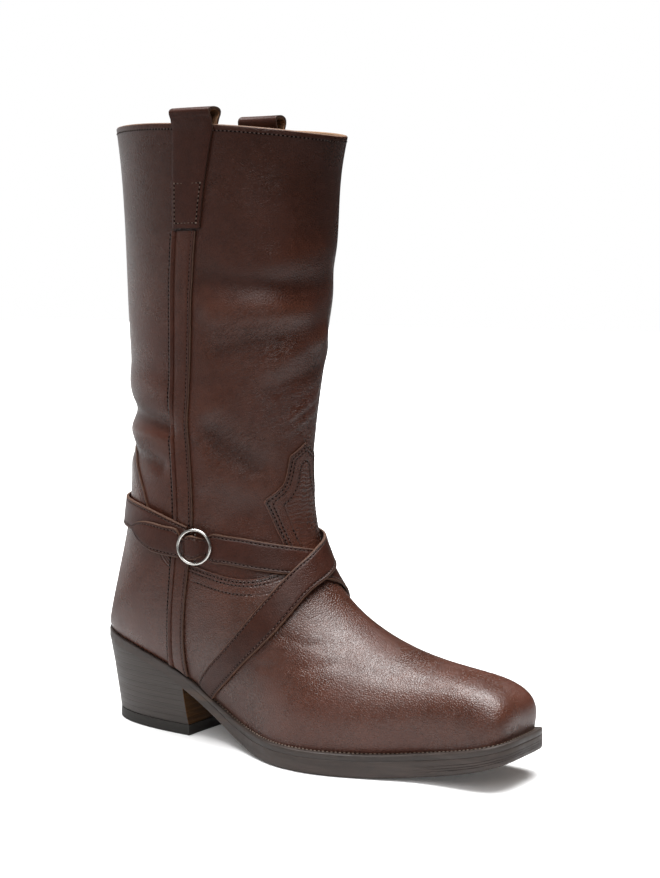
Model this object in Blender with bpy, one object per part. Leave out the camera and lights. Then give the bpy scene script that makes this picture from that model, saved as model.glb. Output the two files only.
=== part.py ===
"""Tall leather boot for the right foot, built as separate named pieces.

Frame: metres, toe towards +X, outer (lateral) side towards -Y, +Z up.
The heel tip and the forefoot stand on z = 0.  Tables are in millimetres.
"""
import math

import bpy
import numpy as np

MM = 0.001

# thicknesses and gaps, in millimetres
SEAT_GAP = 0.3
FEATHER_GAP = 0.45
WALL = 2.2
PANEL_LOW = 0.3
PANEL_TOP = 1.3
STRIP_THICK = 1.0
STRAP_THICK = 1.5
LOOP_THICK = 1.6
WELT_FORE = 3.0
WELT_HEEL = 1.6
WELT_LAP = 4.5
INSOLE_RISE = 2.6
HEEL_TIP_THICK = 6.2

# the upright line the ankle straps are measured around
ANKLE_X = -58.0

# one row per section, from the toe edge to the collar
SECTION_COLUMNS = ("base_x", "base_lateral", "base_medial", "back_z", "top_x", "top_z", "top_y",
                   "half_lateral", "half_medial", "widest", "top_square", "low_square",
                   "lift_lateral", "lift_medial")
SECTIONS = (
    ("toe edge", 113.5, 22.0, 23.0, 0.0, 134.8, 25.2, 1.0, 22.0, 23.0, 0.00, 4.80, 2.0, 0.0, 0.0),
    ("toe wall", 107.5, 22.4, 24.0, 0.0, 135.6, 37.8, 1.2, 22.7, 24.4, 0.05, 4.50, 2.0, 0.0, 0.0),
    ("toe top", 98.0, 23.4, 26.0, 0.0, 127.8, 46.2, 1.8, 24.0, 27.2, 0.12, 3.90, 2.0, 0.0, 0.0),
    ("toe box", 84.0, 26.8, 29.4, 0.0, 106.8, 51.6, 3.0, 27.9, 30.9, 0.20, 3.00, 2.0, 0.0, 0.0),
    ("joint", 62.0, 35.8, 34.7, 0.0, 80.6, 55.2, 4.0, 37.2, 36.7, 0.25, 2.35, 2.0, 0.0, 0.0),
    ("ball", 36.0, 43.7, 37.2, 0.0, 52.4, 63.1, 4.0, 44.7, 39.2, 0.27, 2.10, 2.0, 0.0, 0.0),
    ("fore waist", 12.0, 42.7, 32.7, 0.0, 31.6, 74.4, 4.0, 44.2, 36.7, 0.30, 2.00, 2.0, 0.0, 0.0),
    ("waist", -12.0, 33.7, 24.7, 0.0, 17.9, 87.2, 3.0, 38.2, 33.7, 0.36, 2.00, 2.0, 0.0, 0.0),
    ("instep", -38.0, 25.7, 22.2, 0.0, 7.8, 101.4, 2.5, 35.7, 33.2, 0.42, 2.00, 2.0, 0.0, 0.0),
    ("high instep", -66.0, 24.2, 24.7, 0.0, 2.0, 115.6, 2.0, 34.8, 33.8, 0.45, 2.00, 2.0, 0.0, 0.0),
    ("heel one", -91.5, 23.7, 27.2, 0.0, -0.4, 127.3, 1.5, 35.0, 34.5, 0.46, 2.05, 2.0, 0.0, 0.0),
    ("heel two", -115.3, 19.8, 25.8, 0.0, -1.0, 137.0, 1.0, 35.2, 35.2, 0.47, 2.10, 2.0, 0.0, 0.0),
    ("heel three", -131.0, 11.7, 16.6, 0.0, -1.0, 145.5, 1.0, 35.4, 35.4, 0.48, 2.10, 2.0, 0.0, 0.0),
    ("heel back", -137.2, 0.0, 0.0, 53.3, -0.9, 153.0, 0.5, 35.6, 35.6, 0.49, 2.10, 2.0, 0.0, 0.0),
    ("counter", -129.8, 0.0, 0.0, 80.0, -0.3, 165.0, 0.0, 36.0, 36.0, 0.50, 2.15, 2.0, 0.0, 0.0),
    ("ankle", -120.3, 0.0, 0.0, 115.0, 0.8, 179.0, 0.0, 37.0, 37.0, 0.50, 2.15, 2.0, 0.0, 0.0),
    ("over ankle", -115.0, 0.0, 0.0, 155.0, 2.5, 195.0, 0.0, 38.5, 38.5, 0.50, 2.20, 2.1, 0.0, 0.0),
    ("low shaft", -115.3, 0.0, 0.0, 195.0, 6.0, 217.0, 0.0, 40.5, 40.5, 0.50, 2.20, 2.1, 0.0, 0.0),
    ("mid shaft", -116.8, 0.0, 0.0, 240.0, 10.5, 251.0, 0.0, 43.0, 43.0, 0.50, 2.20, 2.1, 0.0, 0.0),
    ("high shaft", -118.3, 0.0, 0.0, 290.0, 14.0, 293.0, 0.0, 45.0, 45.0, 0.50, 2.20, 2.1, 1.0, 1.5),
    ("under collar", -121.5, 0.0, 0.0, 328.0, 16.8, 322.0, 0.0, 46.0, 46.0, 0.50, 2.20, 2.1, 2.4, 3.4),
    ("collar", -124.0, 0.0, 0.0, 343.5, 20.0, 335.5, 0.0, 46.5, 46.5, 0.50, 2.20, 2.1, 3.0, 5.0),
)
HEEL_ROW = [row[0] for row in SECTIONS].index("heel back")
TABLE = {name: np.array([row[i + 1] for row in SECTIONS]) for i, name in enumerate(SECTION_COLUMNS)}

# side view of the sole: x, height of the welt's top
SEAT_LINE = ((-142.0, 53.5), (-110.0, 48.0), (-85.0, 41.5), (-62.0, 33.0), (-40.0, 22.0), (-20.0, 14.9),
             (0.0, 12.3), (20.0, 12.0), (50.0, 12.3), (75.0, 13.3), (100.0, 16.6), (120.0, 20.6),
             (142.0, 26.8))
# side view of the sole: x, height of its underside behind the flat of the forefoot
ARCH_LINE = ((-142.0, 48.9), (-110.0, 42.6), (-85.0, 35.8), (-65.0, 26.8), (-45.0, 15.5), (-25.0, 6.2),
             (-8.0, 1.6), (5.0, 0.2), (12.0, 0.0))
FLAT_END = 55.0
TOE_SPRING = 15.2
TOE_SPRING_X = 140.0

# margin of the sole beyond the upper: place along the sections, margin
MARGIN = ((0.0, 5.7), (40.0, 5.6), (90.0, 5.2), (150.0, 4.0), (190.0, 3.2), (240.0, 3.4))


def spline(knots, values, at, end_slope=None):
    """Cubic curve through the values with even bending at each knot; the end slope can be set."""
    knots = np.asarray(knots, float)
    values = np.asarray(values, float)
    count = len(knots)
    step = np.diff(knots)
    rise = np.diff(values) / step
    system = np.eye(count)
    right = np.zeros(count)
    for i in range(1, count - 1):
        system[i, i - 1:i + 2] = step[i - 1], 2 * (step[i - 1] + step[i]), step[i]
        right[i] = 6 * (rise[i] - rise[i - 1])
    if end_slope is not None:
        system[-1, -2:] = step[-1], 2 * step[-1]
        right[-1] = 6 * (end_slope - rise[-1])
    bend = np.linalg.solve(system, right)
    at = np.asarray(at, float)
    i = np.clip(np.searchsorted(knots, at) - 1, 0, count - 2)
    d = at - knots[i]
    slope = rise[i] - step[i] * (2 * bend[i] + bend[i + 1]) / 6
    return values[i] + d * (slope + d * (bend[i] / 2 + d * (bend[i + 1] - bend[i]) / (6 * step[i])))


def sole_top(x):
    """Height of the welt's top at x."""
    line = np.array(SEAT_LINE)
    return spline(line[:, 0], line[:, 1], x)


def sole_low(x):
    """Height of the outsole's underside: arch, flat forefoot, toe spring."""
    x = np.asarray(x, float)
    line = np.array(ARCH_LINE)
    arch = spline(line[:, 0], line[:, 1], np.minimum(x, line[-1, 0]), end_slope=0.0)
    spring = TOE_SPRING * (np.maximum(x - FLAT_END, 0.0) / (TOE_SPRING_X - FLAT_END)) ** 2
    return np.where(x < line[-1, 0], np.maximum(arch, 0.0), spring)


def welt_thickness(x):
    """Thickness of the welt, thinner over the heel."""
    return np.interp(x, (-100.0, -30.0), (WELT_HEEL, WELT_FORE))


def section_places():
    """Place of each section: half the running length of the top line and of the base line."""
    base_z = np.where(TABLE["back_z"] > 0, TABLE["back_z"], sole_top(TABLE["base_x"]))
    top_run = np.hypot(np.diff(TABLE["top_x"]), np.diff(TABLE["top_z"]))
    base_run = np.hypot(np.diff(TABLE["base_x"]), np.diff(base_z))
    base_run = np.hypot(base_run, np.diff(TABLE["base_lateral"] + TABLE["base_medial"]) / 2)
    return np.concatenate(([0.0], np.cumsum((top_run + base_run) / 2)))


PLACES = section_places()
HEEL_PLACE = PLACES[HEEL_ROW]
COLLAR_PLACE = PLACES[-1]


def sections_at(place):
    """Section sizes between the rows of the table."""
    place = np.clip(np.asarray(place, float), 0.0, COLLAR_PLACE)
    out = {}
    for name in SECTION_COLUMNS[4:]:
        out[name] = spline(PLACES, TABLE[name], place)
    foot = slice(0, HEEL_ROW + 1)
    shaft = slice(HEEL_ROW, None)
    low = np.minimum(place, HEEL_PLACE)
    high = np.maximum(place, HEEL_PLACE)
    is_foot = place < HEEL_PLACE
    foot_x = spline(PLACES[foot], TABLE["base_x"][foot], low, end_slope=0.0)
    back_x = spline(PLACES[shaft], TABLE["base_x"][shaft], high)
    back_z = spline(PLACES[shaft], TABLE["back_z"][shaft], high)
    out["base_x"] = np.where(is_foot, foot_x, back_x)
    out["base_z"] = np.where(is_foot, sole_top(foot_x) + FEATHER_GAP, back_z)
    for name in ("base_lateral", "base_medial"):
        half = spline(PLACES[foot], TABLE[name][foot], low)
        out[name] = np.where(is_foot, np.maximum(half, 0.0), 0.0)
    return out


def upper_points(place, girth):
    """Outside of the upper: girth -1 is the outer base, 0 the front ridge, 1 the inner base.

    Each section is an arch from base to top: a squared ellipse above its widest level and one
    below it that is cut off at the base width; points are spread by length along the arch.
    """
    place = np.asarray(place, float)
    girth = np.asarray(girth, float)
    wrapped = np.where(place >= HEEL_PLACE, (girth + 1.0) % 2.0 - 1.0, np.clip(girth, -1.0, 1.0))
    row = {name: value[:, None] for name, value in sections_at(place).items()}
    inner = (wrapped > 0)[:, None]
    half = np.where(inner, row["half_medial"], row["half_lateral"])
    base = np.where(inner, row["base_medial"], row["base_lateral"])
    lift = np.where(inner, row["lift_medial"], row["lift_lateral"])
    widest = row["widest"]
    low_power = 2.0 / row["low_square"]
    top_power = 2.0 / row["top_square"]
    share = np.clip(base / half, 0.0, 1.0)
    last = math.pi - np.arcsin(share ** (1.0 / low_power))
    turn = np.linspace(0.0, 1.0, 181)[None, :] * last
    cosine = np.abs(np.cos(turn))
    sine = np.abs(np.sin(turn))
    depth = widest / np.maximum(np.abs(np.cos(last)), 1e-6) ** low_power
    above = turn <= math.pi / 2
    over_widest = widest + (1.0 - widest) * cosine ** top_power
    under_widest = widest - depth * cosine ** low_power
    height = np.where(above, over_widest, under_widest)
    height = np.maximum(height, 0.0)
    out = half * np.where(above, sine ** top_power, sine ** low_power)
    x = row["base_x"] + (row["top_x"] - row["base_x"]) * height
    y = np.where(inner, out, -out) + row["top_y"] * height
    z = row["base_z"] + (row["top_z"] - row["base_z"]) * height + lift * (out / half) ** 2
    arch = np.stack((x, y, z), axis=-1)
    length = np.linalg.norm(np.diff(arch, axis=1), axis=2)
    run = np.concatenate((np.zeros((len(place), 1)), np.cumsum(length, axis=1)), axis=1)
    want = np.abs(wrapped) * run[:, -1]
    at = np.clip((run < want[:, None]).sum(axis=1), 1, run.shape[1] - 1)
    index = np.arange(len(place))
    span = np.maximum(run[index, at] - run[index, at - 1], 1e-9)
    part = ((want - run[index, at - 1]) / span)[:, None]
    return arch[index, at - 1] * (1.0 - part) + arch[index, at] * part


def upper_normals(place, girth):
    """Outward direction of the upper from small steps along and around it."""
    place = np.asarray(place, float)
    girth = np.asarray(girth, float)
    along = 0.8
    around = 0.012
    closed = place >= HEEL_PLACE
    ahead = upper_points(np.minimum(place + along, COLLAR_PLACE), girth)
    behind = upper_points(np.maximum(place - along, 0.0), girth)
    right = upper_points(place, np.where(closed, girth + around, np.minimum(girth + around, 1.0)))
    left = upper_points(place, np.where(closed, girth - around, np.maximum(girth - around, -1.0)))
    normal = np.cross(right - left, ahead - behind)
    return normal / np.linalg.norm(normal, axis=1)[:, None]


def wrap_degrees(angle):
    """Angle brought into -180 to 180."""
    return (np.asarray(angle, float) + 180.0) % 360.0 - 180.0


def around_ankle(points):
    """Angle round the ankle line, 0 at the toe and minus towards the outer side, and height."""
    angle = np.degrees(np.arctan2(points[:, 1], points[:, 0] - ANKLE_X))
    return angle, points[:, 2]


def starting_grid():
    """Coarse net of the upper used to start each search."""
    place, girth = np.meshgrid(np.linspace(0.0, COLLAR_PLACE, 150), np.linspace(-1.0, 1.0, 81), indexing="ij")
    place = place.ravel()
    girth = girth.ravel()
    angle, height = around_ankle(upper_points(place, girth))
    return place, girth, angle, height


START = starting_grid()


def find_on_upper(angle, height):
    """Place and girth of the points of the upper at an angle round the ankle and a height."""
    angle = np.asarray(angle, float)
    height = np.asarray(height, float)
    turn = wrap_degrees(START[2][None, :] - angle[:, None])
    nearest = np.argmin(turn ** 2 + (START[3][None, :] - height[:, None]) ** 2, axis=1)
    place = START[0][nearest].copy()
    girth = START[1][nearest].copy()
    for _ in range(12):
        now = np.array(around_ankle(upper_points(place, girth)))
        up = np.array(around_ankle(upper_points(place + 0.2, girth)))
        side = np.array(around_ankle(upper_points(place, girth + 0.002)))
        miss_turn = wrap_degrees(angle - now[0])
        miss_height = height - now[1]
        a = wrap_degrees(up[0] - now[0]) / 0.2
        b = wrap_degrees(side[0] - now[0]) / 0.002
        c = (up[1] - now[1]) / 0.2
        d = (side[1] - now[1]) / 0.002
        det = a * d - b * c
        det = np.where(np.abs(det) < 1e-6, 1e-6, det)
        place = place + np.clip((d * miss_turn - b * miss_height) / det, -6.0, 6.0)
        girth = girth + np.clip((a * miss_height - c * miss_turn) / det, -0.06, 0.06)
        place = np.clip(place, 0.0, COLLAR_PLACE - 0.3)
        girth = np.where(place >= HEEL_PLACE, (girth + 1.0) % 2.0 - 1.0, np.clip(girth, -0.997, 0.997))
    return place, girth


def material(name, colour, roughness, metallic=0.0):
    """Plain surface for one piece."""
    made = bpy.data.materials.new(name)
    made.use_nodes = True
    shader = made.node_tree.nodes["Principled BSDF"]
    shader.inputs["Base Color"].default_value = (*colour, 1.0)
    shader.inputs["Roughness"].default_value = roughness
    shader.inputs["Metallic"].default_value = metallic
    return made


def add_object(name, points, faces, look):
    """Mesh object from points in millimetres and faces by point number."""
    mesh = bpy.data.meshes.new(name)
    mesh.from_pydata((np.asarray(points) * MM).tolist(), [], [list(map(int, face)) for face in faces])
    mesh.validate()
    mesh.update()
    made = bpy.data.objects.new(name, mesh)
    bpy.context.scene.collection.objects.link(made)
    if look is not None:
        mesh.materials.append(look)
    return made


def stack(name, faces, layers, look):
    """Closed solid from layers of points that share one face plan.

    The first layer is the outer cap and the last one the inner cap; open edges of the plan get
    walls through all the layers.
    """
    count = len(layers[0])
    edges = {}
    for face in faces:
        for a, b in zip(face, face[1:] + face[:1]):
            edges[(a, b)] = True
    made = [tuple(face) for face in faces]
    last = (len(layers) - 1) * count
    made += [tuple(last + i for i in reversed(face)) for face in faces]
    for a, b in edges:
        if (b, a) in edges:
            continue
        for level in range(len(layers) - 1):
            upper = level * count
            lower = upper + count
            made.append((b + upper, a + upper, a + lower, b + lower))
    return add_object(name, np.concatenate(layers), made, look)


def compact(points, faces):
    """Drop points no face uses and join points that share a place."""
    keys = [tuple(np.round(p, 4)) for p in points]
    first = {}
    number = []
    kept = []
    for i, key in enumerate(keys):
        if key not in first:
            first[key] = len(kept)
            kept.append(i)
        number.append(first[key])
    tidy = []
    for face in faces:
        ring = []
        for i in face:
            if number[i] not in ring:
                ring.append(number[i])
        if len(ring) > 2:
            tidy.append(ring)
    return kept, tidy


def grid_faces(rows, columns):
    """Faces of a net of rows and columns, facing outward for the upper's own order."""
    faces = []
    for i in range(rows - 1):
        for j in range(columns - 1):
            a = i * columns + j
            faces.append([a, a + 1, a + columns + 1, a + columns])
    return faces


def split_faces(points, faces):
    """Four-sided faces cut along their shorter diagonal, so that every layer bends alike."""
    made = []
    for face in faces:
        if len(face) == 3:
            made.append(face)
            continue
        a, b, c, d = face
        if np.linalg.norm(points[a] - points[c]) <= np.linalg.norm(points[b] - points[d]):
            made.append([a, b, c])
            made.append([a, c, d])
        else:
            made.append([a, b, d])
            made.append([b, c, d])
    return made


def upper_stations():
    """Places of the rows of the upper's net."""
    toe = np.linspace(0.0, 20.0, 5)
    foot = np.linspace(20.0, HEEL_PLACE - 26.0, 14)[1:]
    heel = np.linspace(HEEL_PLACE - 26.0, HEEL_PLACE, 4)[1:]
    shaft = np.linspace(HEEL_PLACE, COLLAR_PLACE, 13)[1:]
    return np.concatenate((toe, foot, heel, shaft))


UPPER_COLUMNS = 25


def upper_net(places):
    """Net of the upper: points, outward directions, faces, and which points lie on the sole."""
    girths = np.linspace(-1.0, 1.0, UPPER_COLUMNS)
    place, girth = np.meshgrid(places, girths, indexing="ij")
    place = place.ravel()
    girth = girth.ravel()
    points = upper_points(place, girth)
    normals = upper_normals(place, girth)
    on_sole = (place < HEEL_PLACE) & (np.abs(girth) > 0.999) | (place < 0.001)
    on_sole |= (np.abs(place - HEEL_PLACE) < 0.001) & (np.abs(girth) > 0.999)
    kept, faces = compact(points, grid_faces(len(places), UPPER_COLUMNS))
    faces = split_faces(points[kept], faces)
    return points[kept], normals[kept], faces, on_sole[kept]


def offset_net(net, offset):
    """Points of a net moved along its outward directions, held to the sole along the lower edge."""
    points, normals, _, on_sole = net
    flat = normals.copy()
    flat[on_sole, 2] = 0.0
    flat /= np.linalg.norm(flat, axis=1)[:, None]
    moved = points + flat * offset
    moved[on_sole, 2] = sole_top(moved[on_sole, 0]) + FEATHER_GAP
    return moved


def applied(target, name, operation, tool):
    """Target with a Boolean worked in and the tool removed."""
    cut = target.modifiers.new("cut", "BOOLEAN")
    cut.operation = operation
    cut.solver = "EXACT"
    cut.object = tool
    graph = bpy.context.evaluated_depsgraph_get()
    mesh = bpy.data.meshes.new_from_object(target.evaluated_get(graph))
    mesh.name = name
    target.modifiers.clear()
    target.data = mesh
    target.name = name
    bpy.data.objects.remove(tool, do_unlink=True)
    return target


def radial_slab(name, angles, lows, highs, near, far):
    """Cutter between two distances from the ankle line: each row of angles runs low to high."""
    angles = np.radians(np.asarray(angles, float))
    levels = np.stack((np.asarray(lows, float), np.asarray(highs, float)), axis=-1)
    if angles.ndim == 1:
        angles = np.stack((angles, angles), axis=-1)
    rows = len(angles)
    rings = []
    for reach in (far, near):
        x = ANKLE_X + reach * np.cos(angles)
        y = reach * np.sin(angles)
        rings.append(np.stack((x, y, levels), axis=-1).reshape(-1, 3))
    faces = []
    for i in range(rows - 1):
        a = 2 * i
        faces.append([a, a + 2, a + 3, a + 1])
    return stack(name, faces, rings, None)


def outline_rails(inset, side_count, toe_count):
    """Sole outline as a ladder from the heel back to the toe: outer rail, inner rail, in plan."""
    places = np.concatenate((np.linspace(HEEL_PLACE, HEEL_PLACE - 30.0, 6),
                             np.linspace(HEEL_PLACE - 30.0, 0.0, side_count)[1:]))
    row = sections_at(places)
    toe_girth = np.linspace(-1.0, 1.0, 2 * toe_count + 1)
    toe = upper_points(np.zeros(len(toe_girth)), toe_girth)
    outer_side = np.stack((row["base_x"], -row["base_lateral"]), axis=-1)
    inner_side = np.stack((row["base_x"], row["base_medial"]), axis=-1)
    ring = np.concatenate((outer_side, toe[1:-1, :2], inner_side[:0:-1]))
    margin_line = np.array(MARGIN)
    margin = np.interp(places, margin_line[:, 0], margin_line[:, 1])
    margins = np.concatenate((margin, np.full(len(toe) - 2, margin[-1]), margin[:0:-1]))
    ahead = np.roll(ring, -1, axis=0) - np.roll(ring, 1, axis=0)
    ahead /= np.linalg.norm(ahead, axis=1)[:, None]
    outward = np.stack((ahead[:, 1], -ahead[:, 0]), axis=-1)
    reach = margins - inset if np.isscalar(inset) else np.asarray(inset(margins))
    moved = ring + outward * np.asarray(reach)[:, None]
    half = len(places) + toe_count
    outer = moved[:half]
    inner = np.concatenate((moved[:1], moved[:half - 2:-1]))
    return outer, inner


def ladder_faces(count):
    """Faces across a ladder of two rails facing up; joined ends are left to be tidied."""
    faces = []
    for i in range(count - 1):
        faces.append([i, i + 1, count + i + 1, count + i])
    return faces


def plate(name, layers, look):
    """Solid between layers of ladders; each layer is an outer rail, an inner rail and heights."""
    stacked = []
    for outer, inner, height in layers:
        plan = np.concatenate((outer, inner))
        stacked.append(np.column_stack((plan, height(plan[:, 0]))))
    count = len(layers[0][0])
    kept, faces = compact(stacked[0], ladder_faces(count))
    return stack(name, faces, [layer[kept] for layer in stacked], look)


def outsole_top(x):
    """Height of the outsole's top, under the welt."""
    return sole_top(x) - welt_thickness(x) - SEAT_GAP


def outsole_level(share):
    """Height function at a share of the outsole's thickness."""
    def height(x):
        low = sole_low(x)
        return low + share * (outsole_top(x) - low)
    return height


def build_outsole(look):
    """Outsole with its true outline, arch, toe spring and one rib groove round its side."""
    plan = (30, 7)
    edge = outline_rails(0.0, *plan)
    under = outline_rails(1.0, *plan)
    groove = outline_rails(0.7, *plan)
    layers = [(*edge, outsole_level(1.0)), (*edge, outsole_level(0.60)), (*groove, outsole_level(0.53)),
              (*edge, outsole_level(0.46)), (*edge, outsole_level(0.12)), (*under, outsole_level(0.0))]
    return plate("outsole", layers, look)


def build_welt(look):
    """Welt: a closed strip lying on the outsole under the edge of the upper."""
    plan = (30, 7)
    outer = outline_rails(0.0, *plan)
    lapped = outline_rails(lambda margins: np.full(len(margins), -WELT_LAP), *plan)
    loops = []
    for lateral, medial in (outer, lapped):
        loops.append(np.concatenate((lateral, medial[-2:0:-1])))
    around = len(loops[0])
    flat = np.concatenate(loops)
    faces = []
    for i in range(around):
        j = (i + 1) % around
        faces.append([i, j, around + j, around + i])
    top = np.column_stack((flat, sole_top(flat[:, 0])))
    low = np.column_stack((flat, outsole_top(flat[:, 0]) + SEAT_GAP))
    return stack("welt", faces, [top, low], look)


def build_insole(look):
    """Insole: fills the welt and laps over it up to the inside of the upper."""
    plan = (22, 5)
    lapped = outline_rails(lambda margins: np.full(len(margins), -WALL - 1.5), *plan)
    filled = outline_rails(lambda margins: np.full(len(margins), -WELT_LAP - 0.5), *plan)
    layers = [(*lapped, lambda x: sole_top(x) + INSOLE_RISE), (*lapped, lambda x: sole_top(x) + SEAT_GAP),
              (*filled, lambda x: sole_top(x) + SEAT_GAP), (*filled, lambda x: outsole_top(x) + SEAT_GAP)]
    return plate("insole", layers, look)


# heel: shares of the way down, breast x, length and width against the seat
HEEL_LEVELS = ((0.0, -66.5, 1.000, 0.985), (0.35, -65.6, 0.965, 0.965), (0.70, -64.4, 0.945, 0.950),
               (1.0, -63.0, 0.935, 0.940))


def heel_layers(levels, heights):
    """Layers of the heel block worked from the seat's outline behind the breast."""
    outer, inner = outline_rails(0.0, 44, 7)
    breast = HEEL_LEVELS[0][1]
    keep = max(np.searchsorted(outer[:, 0], breast), np.searchsorted(inner[:, 0], breast))
    rails = []
    for rail in (outer[:keep + 1], inner[:keep + 1]):
        cut = rail.copy()
        cut[-1] = rail[-2] + (rail[-1] - rail[-2]) * (breast - rail[-2, 0]) / (rail[-1, 0] - rail[-2, 0])
        rails.append(cut)
    layers = []
    for (_, breast_x, length, width), height in zip(levels, heights):
        moved = []
        for rail in rails:
            new = rail.copy()
            new[:, 0] = breast_x + (rail[:, 0] - breast) * length
            new[:, 1] = rail[:, 1] * width
            moved.append(new)
        layers.append((*moved, height))
    return layers


def build_heel(look):
    """Stacked heel block: slanted back, breast leaning forward to the floor."""
    bottom = HEEL_TIP_THICK + SEAT_GAP
    heights = []
    for share, *_ in HEEL_LEVELS:
        def height(x, share=share):
            seat = sole_low(x) - SEAT_GAP
            return seat + (bottom - seat) * share
        heights.append(height)
    return plate("heel_stack", heel_layers(HEEL_LEVELS, heights), look)


def build_heel_tip(look):
    """Heel tip: the flat wearing piece under the stack."""
    level = HEEL_LEVELS[-1]
    levels = (level, level)
    heights = (lambda x: np.full(len(x), HEEL_TIP_THICK), lambda x: np.zeros(len(x)))
    return plate("heel_tip", heel_layers(levels, heights), look)


def build_upper(look):
    """Hollow upper: one wall from the sole to the collar, open at both."""
    net = upper_net(upper_stations())
    return stack("upper", net[2], [net[0], offset_net(net, -WALL)], look)


# top edge of the vamp round the ankle line: degrees from the toe, height
VAMP_EDGE = (
    (0.0, 107.0), (8.0, 107.0), (14.0, 104.5), (18.0, 100.8), (25.0, 97.6), (33.0, 95.6), (41.0, 95.3),
    (53.0, 96.6), (67.0, 98.8), (78.0, 100.4), (86.0, 101.4),
)
# flame of the vamp: height, half spread in degrees
VAMP_FLAME = (
    (96.0, 12.0), (104.0, 14.2), (112.4, 15.1), (119.7, 17.4), (130.8, 21.6), (138.6, 25.4),
    (140.6, 24.0), (143.2, 19.2), (148.2, 14.4), (155.2, 12.4), (163.0, 11.4), (166.5, 6.2), (170.0, 0.4),
)
# top edge of the counter: degrees from the toe, height
COUNTER_EDGE = (
    (87.4, 100.6), (96.0, 101.2), (104.0, 102.4), (112.0, 110.6), (120.0, 121.5), (129.0, 131.0),
    (133.0, 137.8), (138.0, 145.4), (142.5, 152.6), (148.0, 158.0), (158.0, 162.5), (170.0, 165.0),
    (180.0, 166.0),
)


def build_panels(vamp_look, counter_look):
    """Vamp and counter: one shell over the upper, cut along their edges from the ankle line."""
    places = upper_stations()
    reach = places[places < 330.0]
    pieces = []
    for name, look in (("vamp", vamp_look), ("counter", counter_look)):
        net = upper_net(reach)
        pieces.append(stack(name, net[2], [offset_net(net, PANEL_TOP), offset_net(net, PANEL_LOW)], look))
    edge = np.array(VAMP_EDGE)
    angle = np.concatenate((-edge[:0:-1, 0], edge[:, 0]))
    top = np.concatenate((edge[:0:-1, 1], edge[:, 1]))
    foot = radial_slab("foot", angle, np.full(len(angle), -10.0), top, 8.0, 240.0)
    flame_rows = np.array(VAMP_FLAME)
    flame = flame_cutter(flame_rows)
    cutter = applied(foot, "cutter", "UNION", flame)
    vamp = applied(pieces[0], "vamp", "INTERSECT", cutter)
    edge = np.array(COUNTER_EDGE)
    angle = np.concatenate((edge[:, 0], 360.0 - edge[-2::-1, 0]))
    top = np.concatenate((edge[:, 1], edge[-2::-1, 1]))
    back = radial_slab("back", angle, np.full(len(angle), -10.0), top, 8.0, 160.0)
    counter = applied(pieces[1], "counter", "INTERSECT", back)
    return vamp, counter


def flame_cutter(rows):
    """Cutter for the flame: spread about the toe line at each height."""
    shares = np.linspace(-1.0, 1.0, 5)
    rings = []
    for reach in (150.0, 12.0):
        points = []
        for height, spread in rows:
            turn = np.radians(shares * spread)
            x = ANKLE_X + reach * np.cos(turn)
            points.append(np.column_stack((x, reach * np.sin(turn), np.full(len(turn), height))))
        rings.append(np.concatenate(points))
    return stack("flame", grid_faces(len(rows), len(shares)), rings, None)


def dense(table, step):
    """More rows between the rows of a table, so that none lie further apart than the step."""
    table = np.asarray(table, float)
    length = np.hypot(np.diff(table[:, 0]) * 0.65, np.diff(table[:, 1]))
    run = np.concatenate(([0.0], np.cumsum(np.maximum(length, 0.01))))
    at = [run[:1]]
    for low, high in zip(run[:-1], run[1:]):
        pieces = max(1, math.ceil((high - low) / step))
        at.append(np.linspace(low, high, pieces + 1)[1:])
    at = np.concatenate(at)
    return np.column_stack([spline(run, table[:, i], at) for i in range(table.shape[1])])


def ribbon(name, rows, thick, look, across=3):
    """Strap on the upper: rows give both edges as angle and height, and the lift of its underside."""
    shares = np.linspace(0.0, 1.0, across + 1)
    angle = rows[:, 0:1] * (1.0 - shares) + rows[:, 2:3] * shares
    height = rows[:, 1:2] * (1.0 - shares) + rows[:, 3:4] * shares
    place, girth = find_on_upper(angle.ravel(), height.ravel())
    points = upper_points(place, girth)
    normals = upper_normals(place, girth)
    lift = np.repeat(rows[:, 4], across + 1)[:, None]
    low = points + normals * lift
    top = points + normals * (lift + thick)
    for layer in (low, top):
        layer[:, 2] = np.maximum(layer[:, 2], sole_top(layer[:, 0]) + FEATHER_GAP)
    faces = grid_faces(len(rows), across + 1)
    ahead = points[across + 1] - points[0]
    over = points[across] - points[0]
    if np.dot(np.cross(over, ahead), normals[0]) < 0:
        faces = [face[::-1] for face in faces]
    return stack(name, split_faces(points, faces), [top, low], look)


# side strips, outer side: back angle, height, front angle, height, lift; the inner one
# mirrors it and leans back to its loop
SIDE_STRIP = (
    (-124.0, 42.4, -98.5, 35.6, 1.9), (-116.0, 54.0, -95.0, 49.5, 1.9), (-108.6, 73.3, -89.6, 73.3, 1.9),
    (-105.0, 88.0, -86.0, 88.0, 1.9), (-103.2, 98.0, -83.8, 98.0, 1.9),
    (-102.3, 104.0, -82.7, 104.0, 1.7), (-101.4, 110.0, -81.6, 110.0, 0.7),
    (-99.5, 126.0, -79.4, 126.0, 0.5), (-98.8, 150.0, -78.9, 150.0, 0.5),
    (-98.6, 180.0, -79.3, 180.0, 0.5), (-95.0, 215.0, -75.4, 215.0, 0.5),
    (-92.0, 250.0, -72.4, 250.0, 0.5), (-87.8, 285.6, -67.8, 285.6, 0.5),
)

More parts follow.
